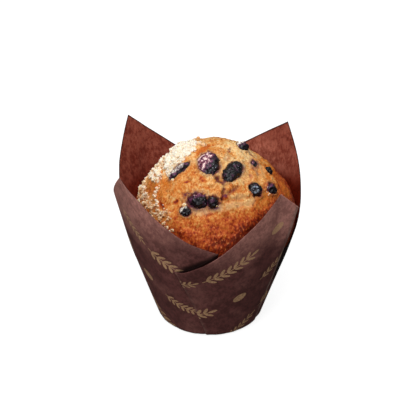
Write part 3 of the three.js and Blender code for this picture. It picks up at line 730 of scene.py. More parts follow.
def fit_inside(points):
    reach = np.hypot(points[:, 0], points[:, 1])
    room = room_inside(points)
    lowest = np.minimum(reach, room)
    kept = lowest - BLEND * np.log(np.exp((lowest - reach) / BLEND) + np.exp((lowest - room) / BLEND))
    factor = np.where(reach > 1e-6, kept / np.maximum(reach, 1e-6), 1)
    return points * np.stack([factor, factor, np.ones(len(points))], axis=1)


def make_lumps():
    random = linear_congruential(LUMP_SEED)
    steps, phases = [], []
    for _ in range(LUMP_COUNT):
        heading, climb = 2 * np.pi * next(random), 2 * next(random) - 1
        length, phase = lerp(*LUMP_LENGTHS, next(random)), 2 * np.pi * next(random)
        steps.append(polar(np.sqrt(1 - climb * climb), heading, climb) * 2 * np.pi / length)
        phases.append(phase)
    steps, phases = np.array(steps), np.array(phases)
    return lambda points: np.sin(points @ steps.T + phases).sum(axis=1) * LUMP_HEIGHT / np.sqrt(LUMP_COUNT)


lumps_at = make_lumps()


def crown_normal(azimuth, rise):
    tilt = np.radians(rise)
    exponent = 2 - 2 / CROWN_POWER
    out = np.maximum(np.cos(tilt), 0) ** exponent / CROWN_RADIUS
    normal = polar(out, np.radians(azimuth), np.sin(tilt) ** exponent / CROWN_HEIGHT)
    return normal / np.linalg.norm(normal, axis=-1, keepdims=True)


def bare_crown(azimuth, rise):
    tilt = np.radians(rise)
    exponent = 2 / CROWN_POWER
    radius = CROWN_RADIUS * np.maximum(np.cos(tilt), 0) ** exponent
    height = CROWN_SPRINGING + CROWN_HEIGHT * np.sin(tilt) ** exponent
    return polar(radius, np.radians(azimuth), height) + (*CROWN_AXIS, 0)


def crown_point(azimuth, rise):
    azimuth, rise = np.broadcast_arrays(np.asarray(azimuth, float), np.asarray(rise, float))
    point = bare_crown(azimuth, rise)
    lift = lumps_at(point.reshape(-1, 3)).reshape(azimuth.shape)
    return point + crown_normal(azimuth, rise) * lift[..., None]


def crust_frame(azimuth, rise, turn):
    """Rows are the axes of a frame on the crust: x along it, y up the slope, z out."""
    out = crown_normal(azimuth, rise)
    angle = np.radians(azimuth)
    along = np.array((-np.sin(angle), np.cos(angle), 0.0))
    up = np.cross(out, along)
    c, s = np.cos(np.radians(turn)), np.sin(np.radians(turn))
    return np.stack([along * c + up * s, up * c - along * s, out])


BERRY_PLACES = np.array([crown_point(*berry["at"]) for berry in BERRIES])

# ---- Materials ----


class Value:
    """The output of a shader node. Arithmetic with it adds nodes, and | is the larger of two."""

    def __init__(self, surface, socket):
        self.surface, self.socket = surface, socket


def add_operator(name, operation):
    setattr(Value, f"__{name}__", lambda *values: values[0].surface.math(operation, *values))


for name, operation in (
    ("add", "ADD"), ("sub", "SUBTRACT"), ("mul", "MULTIPLY"), ("truediv", "DIVIDE"), ("or", "MAXIMUM"),
    ("gt", "GREATER_THAN"), ("lt", "LESS_THAN"), ("abs", "ABSOLUTE"),
):
    add_operator(name, operation)


class Surface:
    """A Principled material and short ways to build the nodes that feed it. Sizes are in mm, and
    colours are given as a picture shows them, from 0 to 255."""

    def __init__(self, name, **constants):
        self.material = bpy.data.materials.new(name)
        self.material.use_nodes = True
        self.nodes, self.links = self.material.node_tree.nodes, self.material.node_tree.links
        self.nodes.clear()
        self.shader = self.nodes.new("ShaderNodeBsdfPrincipled")
        output = self.nodes.new("ShaderNodeOutputMaterial")
        self.links.new(self.shader.outputs["BSDF"], output.inputs["Surface"])
        self.place = self.add("TexCoord", "Object")
        self.finish(**constants)

    def feed(self, socket, value):
        if isinstance(value, Value):
            self.links.new(value.socket, socket)
        else:
            socket.default_value = srgb(*value) if socket.type == "RGBA" else value

    def add(self, kind, output, inputs=(), **settings):
        """Adds a node, feeds its inputs by name or number, and returns one of its outputs."""
        node = self.nodes.new("ShaderNode" + kind)
        for key, value in settings.items():
            setattr(node, key, value)
        for key, value in inputs.items() if isinstance(inputs, dict) else enumerate(inputs):
            self.feed(node.inputs[key], value)
        return Value(self, node.outputs[output])

    def math(self, operation, *values, clamp=False):
        return self.add("Math", 0, values, operation=operation, use_clamp=clamp)

    def step(self, value, low, high, to=(0.0, 1.0)):
        return self.add("MapRange", "Result", (value, low, high, *to), interpolation_type="SMOOTHSTEP")

    def mix(self, share, a, b, blend="MIX"):
        """Mixes two colours. Sockets 6 and 7 are the node's colours, and output 2 is its colour."""
        inputs = {0: share, 6: a, 7: b}
        return self.add("Mix", 2, inputs, data_type="RGBA", blend_type=blend, clamp_factor=True)

    def coat(self, color, coats):
        """Lays shades over a colour, each by its share and, if it names one, its way to blend."""
        for share, shade, *blend in coats:
            color = self.mix(share, color, shade, *blend)
        return color

    def ramp(self, value, stops):
        color = self.add("ValToRGB", "Color", (value,))
        elements = color.socket.node.color_ramp.elements
        while len(elements) < len(stops):
            elements.new(0.5)
        for element, (position, shade) in zip(elements, stops):
            element.position = position
            element.color = srgb(*shade)
        return color

    def noise(self, size, detail=2.0, roughness=0.5, stretch=None, shift=(0.0, 0.0, 0.0)):
        place = self.place
        if stretch:
            place = self.add("VectorMath", "Vector", (place, stretch, shift), operation="MULTIPLY_ADD")
        inputs = {"Vector": place, "Scale": 1 / (size * MM), "Detail": detail, "Roughness": roughness}
        return self.add("TexNoise", "Fac", inputs)

    def attribute(self, name, output="Fac"):
        return self.add("Attribute", output, attribute_name=name)

    def bump(self, height, depth, strength, **normal):
        """Raises the surface by depth millimetres where height is 1."""
        inputs = {"Height": height, "Distance": depth * MM, "Strength": strength, **normal}
        return self.add("Bump", "Normal", inputs)

    def finish(self, **sockets):
        for key, value in sockets.items():
            self.feed(self.shader.inputs[key.replace("_", " ")], value)
        return self.material


# The print is rows of ears of grain, a short and a long one and an oval by turns, parallel to one
# edge of the sheet. Sizes in millimetres on the flat sheet.
PRINT_ROW_PITCH = 21.5
PRINT_FIRST_ROW = -62.0
PRINT_PERIOD = 77.0
PRINT_SHIFT = 34.2
EARS = (
    {"start": 4.5, "pitch": 2.7, "grains": 6, "length": 3.3, "width": 1.1, "offset": 1.25},
    {"start": 27.5, "pitch": 3.5, "grains": 7, "length": 4.5, "width": 1.5, "offset": 1.6},
)
GRAIN_LEAN = np.radians(38)
STEM_WIDTH = 0.5
OVAL = {"centre": 67.8, "length": 7.0, "width": 4.4}
# The outline of a grain or oval fades between these shares of its size squared.
PRINT_EDGE = (1.12, 0.86)
# The sheet's margin is bare beyond this far from its middle.
PRINT_REACH = 76.5


def print_mask(surface):
    """1 on the printed ears and ovals, 0 on bare paper."""
    sheet = surface.attribute("sheet", "Vector")
    x, y = (surface.add("SeparateXYZ", axis, (sheet,)) for axis in "XY")
    rows = (y - PRINT_FIRST_ROW) / PRINT_ROW_PITCH
    row = surface.math("ROUND", rows)
    up = abs((rows - row) * PRINT_ROW_PITCH)
    along = surface.math("WRAP", row * PRINT_SHIFT + x, PRINT_PERIOD, 0.0)

    def ellipse(across, beyond, length, width):
        a, b = across / (length / 2), beyond / (width / 2)
        return surface.step(a * a + b * b, *PRINT_EDGE)

    def between(low, high):
        return (along > low) * (along < high)

    def ear(start, pitch, grains, length, width, offset):
        x = (surface.math("FRACT", (along - start) / pitch) - 0.5) * pitch
        y = up - offset
        c, s = np.cos(GRAIN_LEAN), np.sin(GRAIN_LEAN)
        pairs = ellipse(x * c + y * s, y * c - x * s, length, width) * between(start, start + pitch * grains)
        end = start + pitch * grains + length / 2
        tip = ellipse(along - (end - 0.2 * length), up, length, width)
        stem = (up < STEM_WIDTH / 2) * between(start - length / 2, end - length / 2)
        return pairs | tip | stem

    oval = ellipse(along - OVAL["centre"], up, OVAL["length"], OVAL["width"])
    return (oval | ear(**EARS[0]) | ear(**EARS[1])) * ((abs(x) | abs(y)) < PRINT_REACH)


def paper_surface(name, dry, soaked_and_shaded, painted_light=None, printed=False):
    """Each pair of colours, dry, darkened by fat and painted shade, and lit by painted light, is a dark
    and a light tone that the paper's fibres mix.
    """
    surface = Surface(name, Specular_IOR_Level=0.12)
    clouds = surface.noise(5.5, 3.0, 0.6)
    fibres = surface.noise(1.3, 3.0, 0.7, stretch=(1.0, 1.0, 0.7))
    tone = surface.step(clouds * 0.45 + fibres * 0.55, 0.38, 0.62)
    # Fat from the cake and painted shade darken the paper's lower part.
    soak_and_shade = surface.math("ADD", surface.attribute("soak_and_shade"), surface.noise(12.0) - 0.5, clamp=True)
    coats = [(soak_and_shade, surface.mix(tone, *soaked_and_shaded))]
    # Painted light: the inner face is lighter about one heading.
    if painted_light:
        coats.append((surface.attribute("painted_light"), surface.mix(tone, *painted_light)))
    if printed:
        rubbed = surface.step(surface.noise(0.7, 3.0, 0.7), 0.35, 0.58, (0.45, 0.95))
        # A painted highlight along the outer folds.
        fold_highlight = surface.attribute("fold_highlight") * surface.step(clouds, 0.35, 0.6, (0.25, 0.8))
        coats += [(print_mask(surface) * rubbed, (222, 176, 132)), (fold_highlight, (214, 182, 164))]
    else:
        coats.append((surface.attribute("rim") * 0.85, (54, 27, 25)))
    # Painted shade: behind the loose fold, under the front right petal's edge and on the hidden layers.
    coats.append((surface.attribute("shade") * 0.9, (20, 12, 11)))
    color = surface.coat(surface.mix(tone, *dry), coats)
    creases = surface.bump(surface.noise(2.6, stretch=(1.0, 1.0, 0.2)), 0.3, 0.4)
    normal = surface.bump(surface.noise(0.35, 2.0, 0.6), 0.035, 0.6, Normal=creases)
    roughness = surface.step(fibres, 0.3, 0.7, (0.5, 0.68))
    return surface.finish(Base_Color=color, Roughness=roughness, Normal=normal)


def cake_surface():
    surface = Surface(
        "baked_crust", Specular_IOR_Level=0.2,
        Subsurface_Weight=0.08, Subsurface_Scale=0.0008, Subsurface_Radius=(1.0, 0.4, 0.15),
    )
    grain = surface.noise(1.15, 3.0, 0.7, stretch=(1.0, 1.0, 0.55))
    blotches = surface.noise(3.2, 3.0, 0.6)
    flecks = surface.noise(0.8, 2.0, 0.6, stretch=(1.0, 1.0, 0.6), shift=(0.31, 0.17, 0.138))
    patchy = surface.step(surface.noise(1.4, 3.0, 0.65), 0.32, 0.58, (0.2, 1.0))
    bake_and_shading, amber, pale, dust, hollow, stain = (surface.attribute(name) for name in CRUST_MARKS)
    level = (grain - 0.5) * 1.1 + bake_and_shading + (blotches - 0.5) * surface.step(bake_and_shading, 0.4, 0.8, (0.6, 0.25))
    color = surface.ramp((flecks - 0.5) * -0.6 + level, (
        (0.0, (238, 200, 142)), (0.16, (224, 168, 100)), (0.33, (212, 137, 64)), (0.5, (200, 108, 40)),
        (0.65, (184, 82, 30)), (0.8, (158, 57, 19)), (0.9, (130, 41, 13)), (1.0, (98, 28, 9)),
    ))
    dark = surface.step(flecks, 0.42, 0.3, (0.0, 0.6)) * surface.step(bake_and_shading, 0.5, 0.8, (1.0, 0.3))
    juice = surface.mix(surface.step(blotches, 0.4, 0.6), (98, 34, 44), (62, 34, 72))
    color = surface.coat(color, (
        (amber * surface.step(blotches, 0.3, 0.6, (0.35, 0.9)), (214, 118, 32)),
        (pale * surface.step(grain, 0.35, 0.6, (0.45, 0.95)), (232, 196, 142)),
        (surface.step(flecks, 0.58, 0.72, (0.0, 0.3)), (244, 180, 108)),
        (dark, (200, 128, 84), "MULTIPLY"),
        (dust * surface.step(grain, 0.3, 0.5, (0.7, 1.0)), (236, 214, 178)),
        # Painted shade in the pits, the cracks and round the pockets' edges.
        (hollow, (112, 56, 28), "MULTIPLY"),
        (stain * patchy, juice),
    ))
    normal = surface.bump(surface.noise(0.7, 3.0, 0.65, stretch=(1.0, 1.0, 0.6)), 0.35, 0.9)
    roughness = surface.step(grain, 0.3, 0.7, (0.4, 0.7))
    return surface.finish(Base_Color=color, Roughness=roughness, Normal=normal)


def berry_surface():
    surface = Surface("berry_skin", Specular_IOR_Level=0.28, Coat_Weight=0.1, Coat_Roughness=0.1)
    pulp_and_glints, calyx, sugar_and_glints = (surface.attribute(name) for name in ("pulp_and_glints", "calyx", "sugar_and_glints"))
    bloom = surface.step(surface.noise(1.5, 3.0, 0.65), 0.55, 0.75, (0.0, 0.25))
    glints = surface.step(surface.noise(0.8, 1.0), 0.66, 0.76, (0.0, 0.7))
    # The flesh's pale end is a painted pinkish-white highlight.
    flesh = surface.ramp(pulp_and_glints * 0.13 + surface.noise(1.7, 3.0, 0.65) - 0.08, (
        (0.38, (26, 9, 22)), (0.5, (84, 34, 60)), (0.57, (160, 92, 110)), (0.64, (248, 220, 212)),
    ))
    purple = surface.ramp(surface.noise(1.4, 3.0, 0.6), ((0.4, (30, 12, 26)), (0.6, (104, 50, 84))))
    torn = pulp_and_glints + (surface.noise(2.2) - 0.5)
    specks = surface.step(surface.noise(0.9, 2.0, 0.6), 0.42, 0.58)
    grains = surface.step(surface.noise(0.7, 2.0, 0.6), 0.36, 0.5, (0.1, 1.0))
    color = surface.coat((12, 7, 11), (
        (bloom, (66, 58, 80)),
        (glints, (168, 172, 186)),
        (surface.step(torn, 0.05, 0.3), purple),
        (surface.step(torn, 0.45, 0.7), flesh),
        (calyx * specks, (186, 202, 222)),
        # Sugar, with painted white highlights on it.
        (sugar_and_glints * grains, (240, 230, 216)),
    ))
    normal = surface.bump(surface.noise(0.6, 3.0, 0.6), 0.16, 0.8)
    roughness = surface.step(surface.noise(0.9), 0.3, 0.7, (0.2, 0.55))
    return surface.finish(Base_Color=color, Roughness=roughness, Normal=normal)


def streusel_surface():
    surface = Surface(
        "streusel", Specular_IOR_Level=0.3, Roughness=0.85,
        Subsurface_Weight=0.12, Subsurface_Scale=0.0008, Subsurface_Radius=(1.0, 0.6, 0.35),
    )
    toast = (surface.noise(0.9, 3.0, 0.65) - 0.5) * 1.1 + surface.attribute("toast")
    color = surface.ramp(toast, (
        (0.0, (250, 240, 222)), (0.25, (247, 226, 194)), (0.5, (236, 198, 150)),
        (0.75, (218, 160, 104)), (1.0, (170, 98, 50)),
    ))
    return surface.finish(Base_Color=color, Normal=surface.bump(surface.noise(0.45, 3.0, 0.65), 0.25, 0.9))


# ---- Building the cake ----

CRUST_STEP = 0.38
HIDDEN_STEP = 3.0
# What the crust's points say to its material.
CRUST_MARKS = ("bake_and_shading", "amber", "pale", "dust", "hollow", "stain")
# The hidden crust in the case is this brown. It has this many points to a ring, fewer further
# down, and the floor has rings at these shares of its edge.
HIDDEN_BAKE, HIDDEN_COUNTS, FLOOR_RINGS = 0.85, (240, 120), (0.8, 0.5, 0.2)


def distance_to_path(points, path):
    best = np.full(len(points), 1e3)
    for a, b in zip(path[:-1], path[1:]):
        way = b - a
        share = np.clip((points - a) @ way / (way @ way), 0, 1)
        best = np.minimum(best, np.linalg.norm(points - a - share[:, None] * way, axis=1))
    return best


def smooth_path(stops, steps=10):
    """A curve on the crown through stops of azimuth and rise."""
    stops = np.array(stops, float)
    places = np.linspace(0, len(stops) - 1, (len(stops) - 1) * steps + 1)
    soft = np.stack([np.interp(places, np.arange(len(stops)), stops[:, k]) for k in (0, 1)], axis=1)
    for _ in range(6):
        soft[1:-1] = (soft[:-2] + 2 * soft[1:-1] + soft[2:]) / 4
    return crown_point(soft[:, 0], soft[:, 1])


def crown_rings():
    """Rise and point count of rings an even step apart along the crown, from the top down."""
    rise = np.linspace(90, 0, 2000)
    profile = bare_crown(0 * rise, rise)
    reach, height = profile[:, 0] - CROWN_AXIS[0], profile[:, 2]
    length = np.concatenate([[0], np.cumsum(np.hypot(np.diff(reach), np.diff(height)))])
    stops = np.arange(0, length[-1], CRUST_STEP)
    rises = np.interp(stops, length, rise)
    counts = np.maximum(np.round(2 * np.pi * np.interp(stops, length, reach) / CRUST_STEP), 6).astype(int)
    counts[0] = 1
    return rises, counts


def streusel_cover(azimuth, rise):
    """How well each patch of streusel covers each point, from 0 to 1."""
    covers = []
    for patch in STREUSEL:
        stops, middles, halves = zip(*patch["path"])
        first, last = stops[0], stops[-1]
        angle = near(azimuth, (first + last) / 2)
        middle, half = np.interp(angle, stops, middles), np.interp(angle, stops, halves)
        ends = window(angle, (first - 6, first + 3), (last - 3, last + 6))
        ends = ends * (1 - smoothstep(rise, *STREUSEL_TOP))
        covers.append(ends * (1 - smoothstep(abs(rise - middle) / half, *PATCH_EDGE)))
    return covers


def local_places(base, at, turn):
    """Points of the crust in the frame of one place on it. Those on its far side are away from it."""
    local = (base - crown_point(*at)) @ crust_frame(*at, turn).T
    return local[:, 0], local[:, 1], abs(local[:, 2]) < 6


def spot_cover(kind, base):
    """How strongly the spots of one kind show at points of the crust."""
    cover = np.zeros(len(base))
    wobble = rough("spots", base)
    for at, reach, turn, strength in SPOTS[kind]:
        x, y, here = local_places(base, at, turn)
        far = np.hypot(x / reach[0], y / reach[1]) + wobble
        cover = np.maximum(cover, strength * (1 - smoothstep(far, *SPOT_EDGE)) * here)
    return cover


def crust_relief(base, azimuth, rise):
    """How far the crust's lumps stand out from the crown, and how deep its pits are."""
    crumbly = CRUMBLY
    for more, low, high in (CRUMBLY_SIDE, CRUMBLY_TOP):
        crumbly = crumbly + more * smoothstep(rise, low, high)
    settled = toward(azimuth, SETTLED["azimuth"], 0.78, 0.97) * window(rise, SETTLED["from"], SETTLED["to"])
    lift = rough("swell", base) - SETTLED["depth"] * settled
    lift += crumbly * (rough("crumb", base) + rough("grit", base))
    pits = smoothstep(rough("pits", base), 0.35, 0.75)
    return lift - PIT_DEPTH * pits * crumbly, pits


def clumps_at(base):
    return smoothstep(rough("clumps", base), -0.2, 0.35)


def streusel_bed(azimuth, rise, base):
    """How far the flour and sugar under the crumbs stand out, and how thickly they lie."""
    heap, patch, belt = streusel_cover(azimuth, rise)
    clumps = clumps_at(base)
    lift = heap * (BED[0] + rough("heap", base)) + BED[1] * patch * clumps + BED[2] * belt * clumps
    dust = heap * (DUST[0] + DUST[1] * clumps) + DUST[2] * patch * clumps + DUST[3] * belt * clumps
    return lift, np.clip(dust, 0, 1)


def crown_foot(azimuth, rise):
    """How far each point is left and right of the middle, and how much it belongs to the foot."""
    leftward = np.cos(np.radians(azimuth - LEFT))
    rightward = toward(azimuth, RIGHT, 0.8, 0.95)
    raised = rise + 2 + FOOT_LEFT * leftward + FOOT_RIGHT * rightward
    return leftward, rightward, 1 - smoothstep(raised, *FOOT_RISES)


def crust_bake_and_shading(azimuth, rise, base):
    """How brown the crust is, with painted light at the left and on the far right flank, and painted shade
    low at the right.
    """
    leftward, rightward, foot = crown_foot(azimuth, rise)
    bake_and_shading = BAKE_CROWN + (BAKE_FOOT + PAINTED_LIGHT_FOOT_LEFT * leftward) * foot
    bake_and_shading += (BAKE_SIDE + BAKE_SIDE_RIGHT * rightward) * (1 - smoothstep(rise, *SIDE_RISES))
    bake_and_shading += (BAKE_BELLY + PAINTED_SHADE_BELLY_RIGHT * rightward) * (1 - smoothstep(rise, *BELLY_RISES))
    bake_and_shading += BAKE_FRONT * bell(azimuth - FRONT, FRONT_WIDTH) * (1 - smoothstep(rise, *FRONT_RISES))
    flank = PAINTED_LIGHT_FLANK + PAINTED_LIGHT_FLANK_HIGH * smoothstep(rise, *FLANK_RISES)
    bake_and_shading += toward(azimuth, FLANK, 0.75, 0.97) * flank + BAKE_TOP * smoothstep(rise, *TOP_RISES)
    bake_and_shading += BAKE_TOAST * spot_cover("toast", base)
    return bake_and_shading + (BAKE_NOISE + BAKE_NOISE_FOOT * foot) * rough("bake_and_shading", base)


def cake_geometry():
    rises, counts = crown_rings()
    azimuth = np.concatenate([360 * np.arange(n) / n for n in counts])
    rise = np.repeat(rises, counts)
    base = crown_point(azimuth, rise)

    lift, pits = crust_relief(base, azimuth, rise)
    # hollow is painted shade: in the pits, less at the foot, then in the cracks and round the pockets' edges.
    hollow = PIT_SHADE * pits * (1 - PIT_SHADE_FOOT * crown_foot(azimuth, rise)[2])
    stain = spot_cover("stain", base)
    lift -= STAIN_DEPTH * stain
    for depth, width, stained, path in CRACKS:
        away = np.maximum(distance_to_path(base, smooth_path(path)) + rough("cracks", base), 0)
        trench = bell(away, width)
        lift += CRACK_LIP * bell(away - CRACK_LIP_AWAY, CRACK_LIP_WIDTH) - depth * trench
        hollow = np.maximum(hollow, CRACK_SHADE * depth * trench)
        stain = np.maximum(stain, stained * bell(away, 2 * width))

    for berry in BERRIES:
        x, y, here = local_places(base, berry["at"], berry["turn"])
        half = np.array(berry["size"][:2]) / 2
        reach = np.where(here, np.hypot(x / half[0], y / half[1]), 9)
        outside = (reach - 1) * half.mean() + rough("pockets", base) - 0.1
        lift -= POCKET_DEPTH * (1 - smoothstep(outside, *POCKET_WALL))
        lip = np.maximum(POCKET_LIP + rough("lips", base), 0)
        lift += lip * bell(outside - POCKET_LIP_AWAY, POCKET_LIP_WIDTH)
        juice = (0.5 + 0.45 * berry["stain"]) * bell(np.maximum(outside - 0.1, 0), 0.4 + 1.5 * berry["stain"])
        stain = np.maximum(stain, juice)
        hollow = np.maximum(hollow, POCKET_SHADE * bell(outside + 0.1, 0.45))

    bed, dust = streusel_bed(azimuth, rise, base)
    lift += bed
    points = [fit_inside(base + crown_normal(azimuth, rise) * lift[:, None])]
    bake_and_shading = crust_bake_and_shading(azimuth, rise, base) + BAKE_RAISED * lift

    depths = [*np.arange(0.8, 8, 0.8), *np.arange(9.5, CROWN_SPRINGING - CAKE_FLOOR, HIDDEN_STEP)]
    for level in [*(CROWN_SPRINGING - np.array(depths)), CAKE_FLOOR]:
        n = HIDDEN_COUNTS[0] if level > CROWN_SPRINGING - 9 else HIDDEN_COUNTS[1]
        ring = crown_point(360 * np.arange(n) / n, np.zeros(n))
        ring[:, 2] = level
        points.append(fit_inside(ring))
    floor = points[-1]
    points += [floor * (share, share, 1) for share in FLOOR_RINGS] + [np.array([[0, 0, CAKE_FLOOR]])]
    counts = np.concatenate([counts, [len(ring) for ring in points[1:]]])

    marks = (bake_and_shading, spot_cover("amber", base), spot_cover("pale", base), dust, hollow, stain)
    hidden = np.zeros(sum(len(ring) for ring in points[1:]))
    values = {name: np.append(np.clip(mark, 0, 1), hidden) for name, mark in zip(CRUST_MARKS, marks)}
    values["bake_and_shading"][len(base):] = HIDDEN_BAKE
    return np.concatenate(points), stitch(counts), values


# ---- Berries ----

BERRY_SUBDIVISIONS = 5
# Torn flesh, with painted pinkish-white highlights, shows on the side of a burst berry that faces this way,
# or its own torn way.
TORN_AND_GLINT_WAY = (-0.75, 0.35, 0.55)
# Sugar and crumbs, with painted white highlights, stick to the side that faces this way.
SUGAR_AND_GLINT_WAY = np.array((-0.62, 0.40, 0.67))
# The ring that the flower leaves at a berry's end: its radius and width in radians.
CALYX_RADIUS, CALYX_WIDTH, CALYX_LOBES = 0.44, 0.13, 5


def berry_geometry(berry, number):
    unit, faces = icosphere(BERRY_SUBDIVISIONS)
    size = np.array(berry["size"], float)
    points = unit * size / 2
    shift = 31.7 * (number + 1)
    scale = np.clip(size.min() / 6.5, 0.45, 1.0)
    dents = noise.layers(points + 2 * shift, 5.5 * scale, 2)
    wrinkles = noise.layers(points + shift, 2.6 * scale, 2)
    fine = noise.layers(points + 3 * shift, 1.3, 2)
    lift = scale * (0.85 * dents - 0.6 * abs(wrinkles) + 0.2) + 0.16 * fine
    axes = crust_frame(*berry["at"], berry["turn"])
    calyx = np.zeros(len(unit))
    if "calyx" in berry:
        way = axes @ np.array(berry["calyx"])
        way /= np.linalg.norm(way)
        far = np.arccos(np.clip(unit @ way, -1, 1))
        side = np.cross(way, (0.0, 0.0, 1.0))
        spin = np.arctan2(unit @ np.cross(way, side), unit @ side)
        ring = bell(far - CALYX_RADIUS, CALYX_WIDTH) * (0.65 + 0.35 * np.cos(CALYX_LOBES * spin))
        lift = lerp(lift, 0.1 * fine, np.exp(-((far / 0.9) ** 4))) + 0.4 * ring - 0.45 * bell(far, 0.27)
        calyx = 0.85 * ring
    heap_side = points @ axes @ SUGAR_AND_GLINT_WAY / (size.min() / 2) + 0.5 * noise.layers(points + shift, 1.8, 3)
    # Sugar, with painted white highlights, on the side that faces the sugar way.
    sugar_and_glints = berry["sugar_and_glints"] * smoothstep(heap_side, 0.55, 0.95)
    lift += np.minimum(sugar_and_glints, 1) * (0.2 + 0.3 * fine)
    points = points + unit * lift[:, None]
    centre = crown_point(*berry["at"]) + axes[2] * (0.5 - berry["sunk"]) * size[2]
    way = np.array(berry.get("torn", TORN_AND_GLINT_WAY))
    facing = unit @ axes @ (way / np.linalg.norm(way))
    # Torn flesh, with painted highlights, on the side that faces the torn way.
    pulp_and_glints = berry["pulp_and_glints"] * smoothstep(facing, -0.2, 0.8)
    return centre + points @ axes, faces, {"pulp_and_glints": pulp_and_glints, "calyx": calyx, "sugar_and_glints": sugar_and_glints}


# ---- Streusel ----

# Of the large crumbs and of the fine ones: how finely a crumb is divided, the seed of their shapes,
# and how far they lie above the crust, as a share of their size.
LARGE, FINE = {"subdivisions": 3, "seed": 5, "above": 0.0}, {"subdivisions": 1, "seed": 6, "above": 0.2}
CRUMB_KEYS = ("place", "size", "azimuth", "rise", "turn")
FINE_SEED, FINE_TRIES = 8, 14000
BED_SHARE = 0.8
# How brown the crumbs of the heap, the small patch and the belt are, and the loose ones. The few
# above the heap are browner.
TOASTED, LOOSE_TOASTED, TOASTED_ABOVE = (0.1, 0.42, 0.74), 0.55, 0.8


def place_crumbs():
    """The large crumbs, where the CAD source has them."""
    reaches = np.array([berry["size"][0] / 2 for berry in BERRIES])
    crumbs = []
    for patch in STREUSEL:
        along, across, around = (np.arange(1, CRUMB_TRIES + 1) * step % 1 for step in CRUMB_TURNS)
        stops = np.arange(len(patch["path"]))
        azimuth, middle, half = (np.interp(along * stops[-1], stops, part) for part in zip(*patch["path"]))
        rise = middle + half * (2 * across - 1)
        places = fit_inside(crown_point(azimuth, rise))
        rooms = room_inside(places)
        placed = 0
        for n, place in enumerate(places):
            if placed == patch["count"]:
                break
            size = lerp(*patch["sizes"], np.sqrt(placed / patch["count"]))
            on_crumb = any(np.linalg.norm(other["place"] - place) < (other["size"] + size) * patch["spacing"]
                           for other in crumbs)
            away = np.linalg.norm(BERRY_PLACES - place, axis=1)
            on_berry = (away < reaches + size * CRUMB_REACH + BERRY_GAP).any()
            on_paper = np.hypot(*place[:2]) + size / 2 > rooms[n]
            if not (on_crumb or on_berry or on_paper):
                values = (place, size, azimuth[n], rise[n], 360 * around[n])
                crumbs.append(dict(zip(CRUMB_KEYS, values)))
                placed += 1
    return {key: np.array([crumb[key] for crumb in crumbs]) for key in CRUMB_KEYS}


def raised(crumbs):
    """The large crumbs, lifted with the streusel that they lie in."""
    at = crumbs["azimuth"], crumbs["rise"]
    lift = BED_SHARE * streusel_bed(*at, crown_point(*at))[0]
    return {**crumbs, "place": crumbs["place"] + crown_normal(*at) * lift[:, None]}


def fine_crumbs():
    """Small crumbs over the streusel patches, and the loose ones."""
    random = np.random.default_rng(FINE_SEED)
    azimuth = random.uniform(105, 255, FINE_TRIES)
    rise = random.uniform(2, 84, FINE_TRIES)
    heap, patch, belt = streusel_cover(azimuth, rise)
    clumps = clumps_at(crown_point(azimuth, rise))
    chance = np.maximum(heap, np.maximum(0.5 * patch, 0.95 * belt) * (0.2 + 0.8 * clumps))
    keep = random.uniform(0, 1, FINE_TRIES) < chance * np.cos(np.radians(rise)) ** 0.6
    azimuth, rise = azimuth[keep], rise[keep]
    size = 0.5 + (1.6 - 0.6 * np.maximum(heap, belt)[keep]) * random.beta(1.2, 3.4, len(azimuth))
    reaches = np.array([np.mean(berry["size"][:2]) / 2 for berry in BERRIES])
    away = np.linalg.norm(crown_point(azimuth, rise)[:, None] - BERRY_PLACES[None], axis=2)
    clear = (away > reaches * 0.85).all(axis=1)
    azimuth, rise, size = azimuth[clear], rise[clear], size[clear]
    for (middle, height), spread, count, typical in LOOSE_CRUMBS:
        turn = np.degrees(spread / CROWN_RADIUS)
        wider = turn / np.cos(np.radians(height))
        azimuth = np.append(azimuth, middle + wider * random.normal(0, 0.6, count))
        rise = np.append(rise, height + turn * random.normal(0, 0.6, count))
        size = np.append(size, typical * random.uniform(0.6, 1.15, count))
    places = crown_point(azimuth, rise)
    lift = crust_relief(places, azimuth, rise)[0] + streusel_bed(azimuth, rise, places)[0]
    places = fit_inside(places + crown_normal(azimuth, rise) * lift[:, None])
    turn = random.uniform(0, 360, len(size))
    return dict(zip(CRUMB_KEYS, (places, size, azimuth, rise, turn)))


def crumb_geometry(crumbs, subdivisions, seed, above):
    unit, faces = icosphere(subdivisions)
    random = np.random.default_rng(seed)
    covers = streusel_cover(crumbs["azimuth"], crumbs["rise"])
    toasted = np.select([cover > 0.3 for cover in covers], TOASTED, LOOSE_TOASTED)
    toasted = lerp(toasted, TOASTED_ABOVE, smoothstep(crumbs["rise"], *STREUSEL_TOP))
    points, triangles, toast = [], [], []
    for number, (place, size, azimuth, rise, turn) in enumerate(zip(*(crumbs[key] for key in CRUMB_KEYS))):
        stretch = random.uniform(0.65, 1.2, 3)
        grains = noise.layers(unit * 1.9 + 13 * number, 1.6, 1 + subdivisions)
        local = unit * (size / 2) * stretch * (1 + 0.38 * grains)[:, None]
        axes = crust_frame(azimuth, rise, turn)
        points.append(place + axes[2] * size * (above - CRUMB_SINK) + local @ axes)
        triangles.append(faces + number * len(unit))
        # Painted shade: each crumb is browner on its lower side and in its hollows.
        shade = toasted[number] + random.normal(0, 0.15) - 0.3 * (unit @ axes)[:, 2] - 0.4 * grains
        toast.append(np.clip(shade, 0, 1))
    return np.concatenate(points), np.concatenate(triangles), {"toast": np.concatenate(toast)}


# ---- The camera, the lights and the floor ----

CAMERA_DISTANCE = 0.62
CAMERA_ELEVATION = 31.2
CAMERA_TARGET = Vector((0.0, 0.0, 0.0552))
FOCAL_PIXELS, FRAME_PIXELS, SENSOR_WIDTH = 1318.0, 420.0, 36.0
